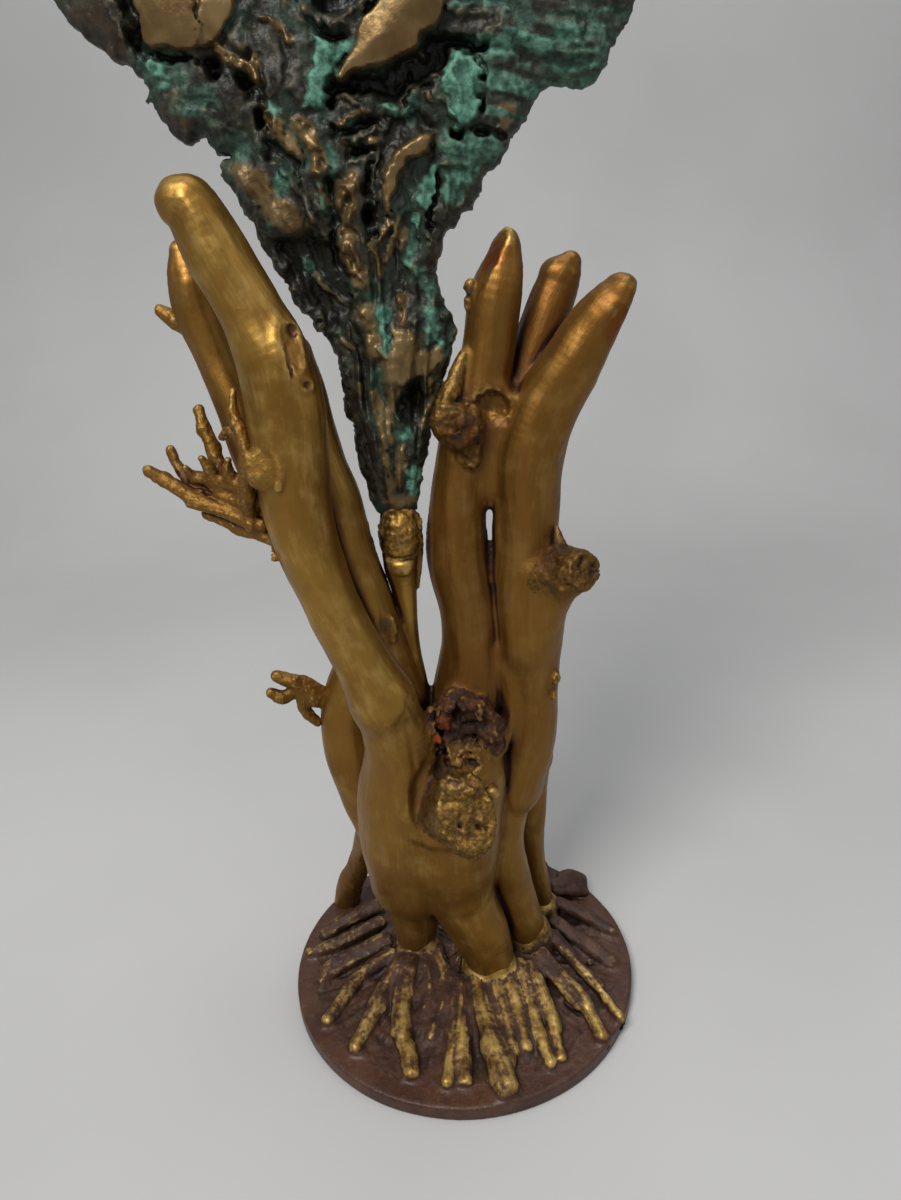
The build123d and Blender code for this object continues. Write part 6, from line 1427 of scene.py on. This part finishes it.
def crown_maps():
    s, x0, z0 = 0.4, -148.0, 252.0
    X = (x0 + np.arange(612) * s)[:, None] + np.zeros((1, 765))
    Z = (z0 + np.arange(765) * s)[None, :] + np.zeros((612, 1))
    M = {}
    out = poly_distance(CROWN_OUTLINE, X, Z)
    ragged = 1.9 * fbm(X / 6.5, Z / 6.5, 0, 601, 3) + 0.9 * np.abs(vnoise(X / 2.3, Z / 2.3, 0, 602)) * 1.2
    M["S"] = -(out + ragged * (1 - 0.55 * (1 - sstep(262, 300, Z))))
    # flow of the torn folds: they gather towards the foot of the crown
    fx, fz = X + 20.0, Z - 235.0
    rho = np.sqrt(fx * fx + fz * fz)
    phi = np.arctan2(fx, fz)
    w1 = 5 * fbm(X / 30, Z / 30, 0, 603, 2)
    low = 1 - sstep(385, 440, Z)
    folds = ridged(phi * 15 + w1 * 0.1, rho / 42, 0, 604, 2)
    crags = ridged((X + w1) / 26, (Z - w1) / 20, 0, 605, 3)
    H = {}
    H["f"] = 3.4 * (folds * (0.45 + 0.55 * low) + crags * (1 - low) * 0.55) - 1.0
    H["b"] = 2.6 * ridged((X - w1) / 30, (Z + w1) / 34, 0.5, 606, 3) + 1.6 * ridged(phi * 13, rho / 50, 3.3, 607, 2) * low - 1.0
    wx, wz = 1.0 * vnoise(X / 5, Z / 5, 0, 608) + 0.6 * vnoise(X / 1.9, Z / 1.9, 0, 609), 1.0 * vnoise(X / 5, Z / 5, 7, 610) + 0.6 * vnoise(X / 1.9, Z / 1.9, 7, 611)
    C = {c: np.zeros(X.shape) for c in "tgbkr"}
    feat = np.zeros(X.shape)
    calm = np.zeros(X.shape)
    plates = {}
    for kind, ch, st, dh, soft, half, pts in CROWN_FEATURES:
        P = np.array(pts, float)
        grow = {"t": 1.7, "b": 1.2, "k": 1.8, "g": 1.4, "r": 1.8}[ch]
        smooth = kind == "p" and ch == "b" and dh >= 5.0 and soft < 0.65
        if smooth:
            grow = 0.35
        if kind == "e":
            lo, hi = P[0] - P[1] * 1.6 - 3, P[0] + P[1] * 1.6 + 3
        else:
            lo, hi = P.min(0) - half - soft * 2 - 3, P.max(0) + half + soft * 2 + 3
        i0, i1 = max(0, int((lo[0] - x0) / s)), min(X.shape[0], int((hi[0] - x0) / s) + 1)
        j0, j1 = max(0, int((lo[1] - z0) / s)), min(X.shape[1], int((hi[1] - z0) / s) + 1)
        if i1 <= i0 or j1 <= j0:
            continue
        sl = (slice(i0, i1), slice(j0, j1))
        x, z = X[sl] + wx[sl] * grow, Z[sl] + wz[sl] * grow
        if kind == "p":
            d = poly_distance(P, x, z)
            m = 1 - sstep(-soft, soft, d)
            hgt = m
        elif kind == "s":
            d = line_distance(P, x, z)
            m = 1 - sstep(0.35 if ch == "k" else 0.6, 1.35, d / half)
            hgt = (1 - sstep(0.45, 1.2, d / half)) * (0.7 + 0.7 * wx[sl] + 0.5 * wz[sl])
        else:
            d = np.sqrt(((x - P[0, 0]) / P[1, 0]) ** 2 + ((z - P[0, 1]) / P[1, 1]) ** 2)
            m = 1 - sstep(0.6, 1.25, d)
            hgt = np.clip(1 - d * d / 1.4, 0, 1)
        if smooth:
            plates["crown_plate_left" if P[:, 0].mean() < -50 else "crown_plate_right"] = (i0, i1, j0, j1, m)
            dome = sstep(0, 9, -d)
            hgt = m * (0.72 + 0.28 * dome)
            feat[sl] = feat[sl] * (1 - m)
        feat[sl] += dh * hgt
        if ch in "bt" or smooth:
            calm[sl] = np.maximum(calm[sl], m * (0.92 if smooth else 0.45 if ch == "b" else 0.3))
        for c in C:
            C[c][sl] *= 1 - st * m
        C[ch][sl] += st * m
    for ch, st, soft, pts in CROWN_GRAIN:
        d = poly_distance(pts, X, Z)
        m = st * (1 - sstep(-soft, soft, d))
        if ch == "s":
            tilt = Z + 0.13 * X + 1.5 * vnoise(X / 22, Z / 22, 0, 620)
            lines = fbm(X / 24, tilt / 2.7, 0, 621, 3) * 1.25 + ridged(X / 40, tilt / 7.0, 0, 622, 2) * 1.1
            H["f"] = H["f"] * (1 - 0.75 * m) + lines * m * 1.3
            teal = sstep(-0.15, 0.45, fbm(X / 18, tilt / 3.1, 4, 623, 3) + 0.35 * fbm(X / 30, Z / 16, 0, 624, 2)) * m * 0.8
            for c in C:
                C[c] *= 1 - teal
            C["t"] += teal
            brown = sstep(0.05, 0.45, fbm(X / 20, tilt / 3.4, 9, 625, 3)) * m * 0.6
            C["t"] *= 1 - brown
            C["g"] += brown * 0.8
        else:
            calm = np.maximum(calm, m * 0.8)
    # above the highest listed marks, and on the back, the same finish runs on at random
    up = sstep(448, 462, Z)
    for side, key in ((up, ""), (np.ones(X.shape), "_b")):
        off = 0.0 if key == "" else 40.0
        n1, n2, n3, n4 = (fbm(X / 24 + off, Z / 20 - off, i * 3.1, 630 + i, 3) for i in range(4))
        rnd = {"t": sstep(0.10, 0.28, n1), "b": sstep(0.14, 0.30, n2), "g": sstep(0.02, 0.26, n3) * 0.8, "r": sstep(0.05, 0.30, n4) * 0.7, "k": sstep(0.0, 0.3, -n1 - n2 * 0.6) * 0.8}
        rnd["t"] = rnd["t"] * (1 - rnd["b"])
        rnd["k"] = rnd["k"] * (1 - rnd["b"]) * (1 - rnd["t"])
        rnd["g"] = rnd["g"] * (1 - rnd["b"]) * (1 - rnd["t"])
        rnd["r"] = rnd["r"] * (1 - rnd["b"]) * (1 - rnd["t"])
        pl = sum((np.pad(m, ((i0, X.shape[0] - i1), (j0, X.shape[1] - j1))) for i0, i1, j0, j1, m in plates.values()), np.zeros(X.shape)) if key == "" else 0.0
        side = side * (1 - np.clip(pl, 0, 1))
        for c in "tgbkr":
            M[c + key] = C[c] * (1 - side) + rnd[c] * side
        bump = 2.2 * rnd["b"] - 2.5 * rnd["k"] + 0.8 * rnd["t"]
        if key == "":
            feat = feat * (1 - side) + bump * side
            calm = calm * (1 - side) + rnd["b"] * 0.6 * side
        else:
            H["b"] = H["b"] * (1 - 0.5 * rnd["b"]) + bump
    arc = phi * np.maximum(rho, 30)
    fibre = low * 1.7 * fbm((arc + 1.5 * wx) / 2.4, (rho + 2 * wz) / 10, 0, 640, 3) + (1 - low) * 1.4 * fbm((arc + 2 * wx) / 4.4, (rho + 2 * wz) / 15, 0, 643, 3)
    M["H"] = H["f"] * (1 - calm) + feat + (1 - calm * 0.85) * (fibre + 1.2 * ridged((X + 2 * wx) / 9, (Z + 2 * wz) / 13, 0, 642, 2) - 0.3)
    M["H_b"] = H["b"] + 0.9 * fbm(X / 3.2, Z / 3.2, 5, 641, 2)
    M["calm"] = calm
    for key, (i0, i1, j0, j1, m) in plates.items():
        M[key] = np.pad(m, ((i0, X.shape[0] - i1), (j0, X.shape[1] - j1)))
    return M, x0, z0, s


def make_crown():
    M, x0, z0, s = crown_maps()
    F = Field((-147, -24, 256), (92, 40, 556), 0.8)
    a, b = np.zeros(3, int), F.n
    x, y, z = F.axes(a, b)
    X, Z = x[:, 0, 0][:, None] + 0 * z[0, 0][None], z[0, 0][None, :] + 0 * x[:, 0, 0][:, None]
    shape = np.array(CROWN_SHAPE)
    cy = np.interp(z[0, 0], shape[:, 0], shape[:, 2])[None, :]
    th = np.interp(z[0, 0], shape[:, 0], shape[:, 4])[None, :]
    wd = np.clip(np.interp(z[0, 0], shape[:, 0], shape[:, 3])[None, :], 7, 26)
    S = soft_lookup(M["S"], X, Z, x0, z0, s)
    inner = np.clip(S / wd, 0, 1)
    t = th * (0.16 + 0.84 * np.sqrt(np.clip(1 - (1 - inner) ** 2, 0, 1)))
    edge = sstep(0.0, 7.0, S)
    foot = sstep(262, 285, Z)
    hf = soft_lookup(M["H"], X, Z, x0, z0, s) * (0.35 + 0.65 * edge) * (0.3 + 0.7 * foot)
    hb = soft_lookup(M["H_b"], X, Z, x0, z0, s) * (0.35 + 0.65 * edge) * (0.3 + 0.7 * foot)
    yf = cy - 0.86 * t - hf + 1.5
    yb = cy + 0.80 * t + hb - 1.5
    yb = np.maximum(yb, yf + 3.0)

    def slope(h):
        gx, gz = np.gradient(h, F.h)
        return 1 / np.sqrt(1 + np.clip(gx * gx + gz * gz, 0, 9))

    gf, gb = slope(yf), slope(yb)
    side = -S * 0.9
    D = smax(smax((yf[:, None, :] - y) * gf[:, None, :], (y - yb[:, None, :]) * gb[:, None, :], 1.0), side[:, None, :] + 0 * y, 1.2)
    D = D + 0.5 * fbm(x / 2.7, y / 2.7, z / 2.7, 650, 2) * (1 - sstep(2.5, 6.0, S))[:, None, :]
    F.D[:] = np.clip(D, -20, CAP)
    v, q = F.mesh()
    n = vertex_normals(v, q)
    order = ["crown_slab", "crown_plate_left", "crown_plate_right"]
    mid = v[q].mean(1)
    fl = np.zeros(len(q), int)
    for i, key in enumerate(order[1:], 1):
        m = soft_lookup(M[key], mid[:, 0], mid[:, 2], x0, z0, s)
        yc = soft_lookup(yf, mid[:, 0], mid[:, 2], F.o[0], F.o[2], F.h)
        fl[(m > 0.5) & (np.abs(mid[:, 1] - yc) < 2.5)] = i
    fl = face_islands(q, clean_labels(q, fl, 3))
    c1, c2 = curvature(v, q, n, 3), curvature(v, q, n, 14)
    crest = np.clip(c1 / 0.22, -1, 1) * 0.5 + np.clip(c2 / 1.0, -1, 1) * 0.5
    ao = openness(F, v, n)
    cyv = np.interp(v[:, 2], shape[:, 0], shape[:, 2])
    back = sstep(-1.5, 1.5, v[:, 1] - cyv)
    attrs = {"ao": ao, "crest": crest}
    for c in "tgbkr":
        f, r = soft_lookup(M[c], v[:, 0], v[:, 2], x0, z0, s), soft_lookup(M[c + "_b"], v[:, 0], v[:, 2], x0, z0, s)
        attrs["cm_" + c] = np.clip(f * (1 - back) + r * back, 0, 1)
    mats = {"crown_slab": CROWN_MAT, "crown_plate_left": PLATE_MAT, "crown_plate_right": PLATE_MAT}
    objs = split(v, q, fl, order, n, attrs, mats, sink=5.0)
    finish_pieces("bark_", objs)
    return objs


# --------------------------------------------------------------------------
# Build
# --------------------------------------------------------------------------
make_wood()
make_twigs()
make_base()
make_crown()
for node, mat, slot in (("crown_pin", STEEL, "steel"), ("base_screws", STEEL, "steel"), ("dowels", WOOD, "bare_wood")):
    ob = NODES[node]
    ob.data.materials.clear()
    ob.data.materials.append(mat)

# --------------------------------------------------------------------------
# Stage, light and camera
# --------------------------------------------------------------------------
def stage_floor():
    """A pale floor that curves up behind the object."""
    m = Mat("Stage_pale")
    a, b = m.noise(3.0, 3, 0.5), m.noise(160, 3, 0.6)
    col = m.mix(m.span(a, 0.3, 0.7), (0.40, 0.40, 0.395), (0.44, 0.44, 0.435))
    mat = m.done(Base_Color=col, Roughness=m.add(0.8, m.mul(b, 0.1)), Normal=m.bump(b, 0.12, 0.0004))
    prof = [(-1.6, 0.0)] + [(-0.2 + 0.1 * i, 0.0) for i in range(8)]
    for i in range(1, 19):
        t = math.radians(i * 5)
        prof.append((0.55 + 0.55 * math.sin(t), 0.55 - 0.55 * math.cos(t)))
    prof.append((1.1, 2.6))
    xs = np.linspace(-2.4, 2.4, 25)
    P = np.array([(x * 1000, y * 1000, z * 1000) for x in xs for y, z in prof])
    k = len(prof)
    Q = np.array([(i * k + j, (i + 1) * k + j, (i + 1) * k + j + 1, i * k + j + 1) for i in range(len(xs) - 1) for j in range(k - 1)])
    build("stage_floor", P, [Q], None, {}, mat)


def area(name, at, aim, size, power, colour=(1, 1, 1), size_y=None):
    li = bpy.data.lights.new(name, "AREA")
    li.shape = "RECTANGLE"
    li.size, li.size_y = size, size_y or size
    li.energy = power
    li.color = colour
    ob = bpy.data.objects.new(name, li)
    bpy.context.scene.collection.objects.link(ob)
    ob.location = at
    ob.rotation_euler = (Vector(aim) - Vector(at)).to_track_quat("-Z", "Y").to_euler()
    return ob


stage_floor()
area("key", (-0.5, -0.85, 1.35), (0, 0, 0.25), 0.6, 23.0, (1.0, 0.985, 0.96))
area("fill", (1.2, -0.7, 0.9), (0, 0, 0.25), 0.9, 2.8, (0.96, 0.98, 1.0))
area("top", (0.15, 0.35, 1.6), (0, 0, 0.2), 0.9, 8.5)
bpy.context.scene.view_settings.view_transform = "Standard"
world = bpy.data.worlds.new("Soft_sky")
bpy.context.scene.world = world
world.use_nodes = True
world.node_tree.nodes["Background"].inputs[0].default_value = (0.92, 0.94, 1.0, 1)
world.node_tree.nodes["Background"].inputs[1].default_value = 0.3

PITCH, ROLL = math.radians(24.0), math.radians(-2.38)
forward = Vector((0, math.cos(PITCH), -math.sin(PITCH)))
right = Vector((1, 0, 0))
up = right.cross(forward)
r2 = right * math.cos(ROLL) + up * math.sin(ROLL)
u2 = -right * math.sin(ROLL) + up * math.cos(ROLL)
cam = bpy.data.cameras.new("camera")
cam.sensor_fit, cam.sensor_width, cam.lens = "AUTO", 36.0, 27.03
cam.clip_start, cam.clip_end = 0.01, 20.0
cob = bpy.data.objects.new("camera", cam)
bpy.context.scene.collection.objects.link(cob)
rot = Matrix((r2, u2, -forward)).transposed().to_4x4()
cob.matrix_world = Matrix.Translation((0.00081, -0.3689, 0.3852)) @ rot
bpy.context.scene.camera = cob
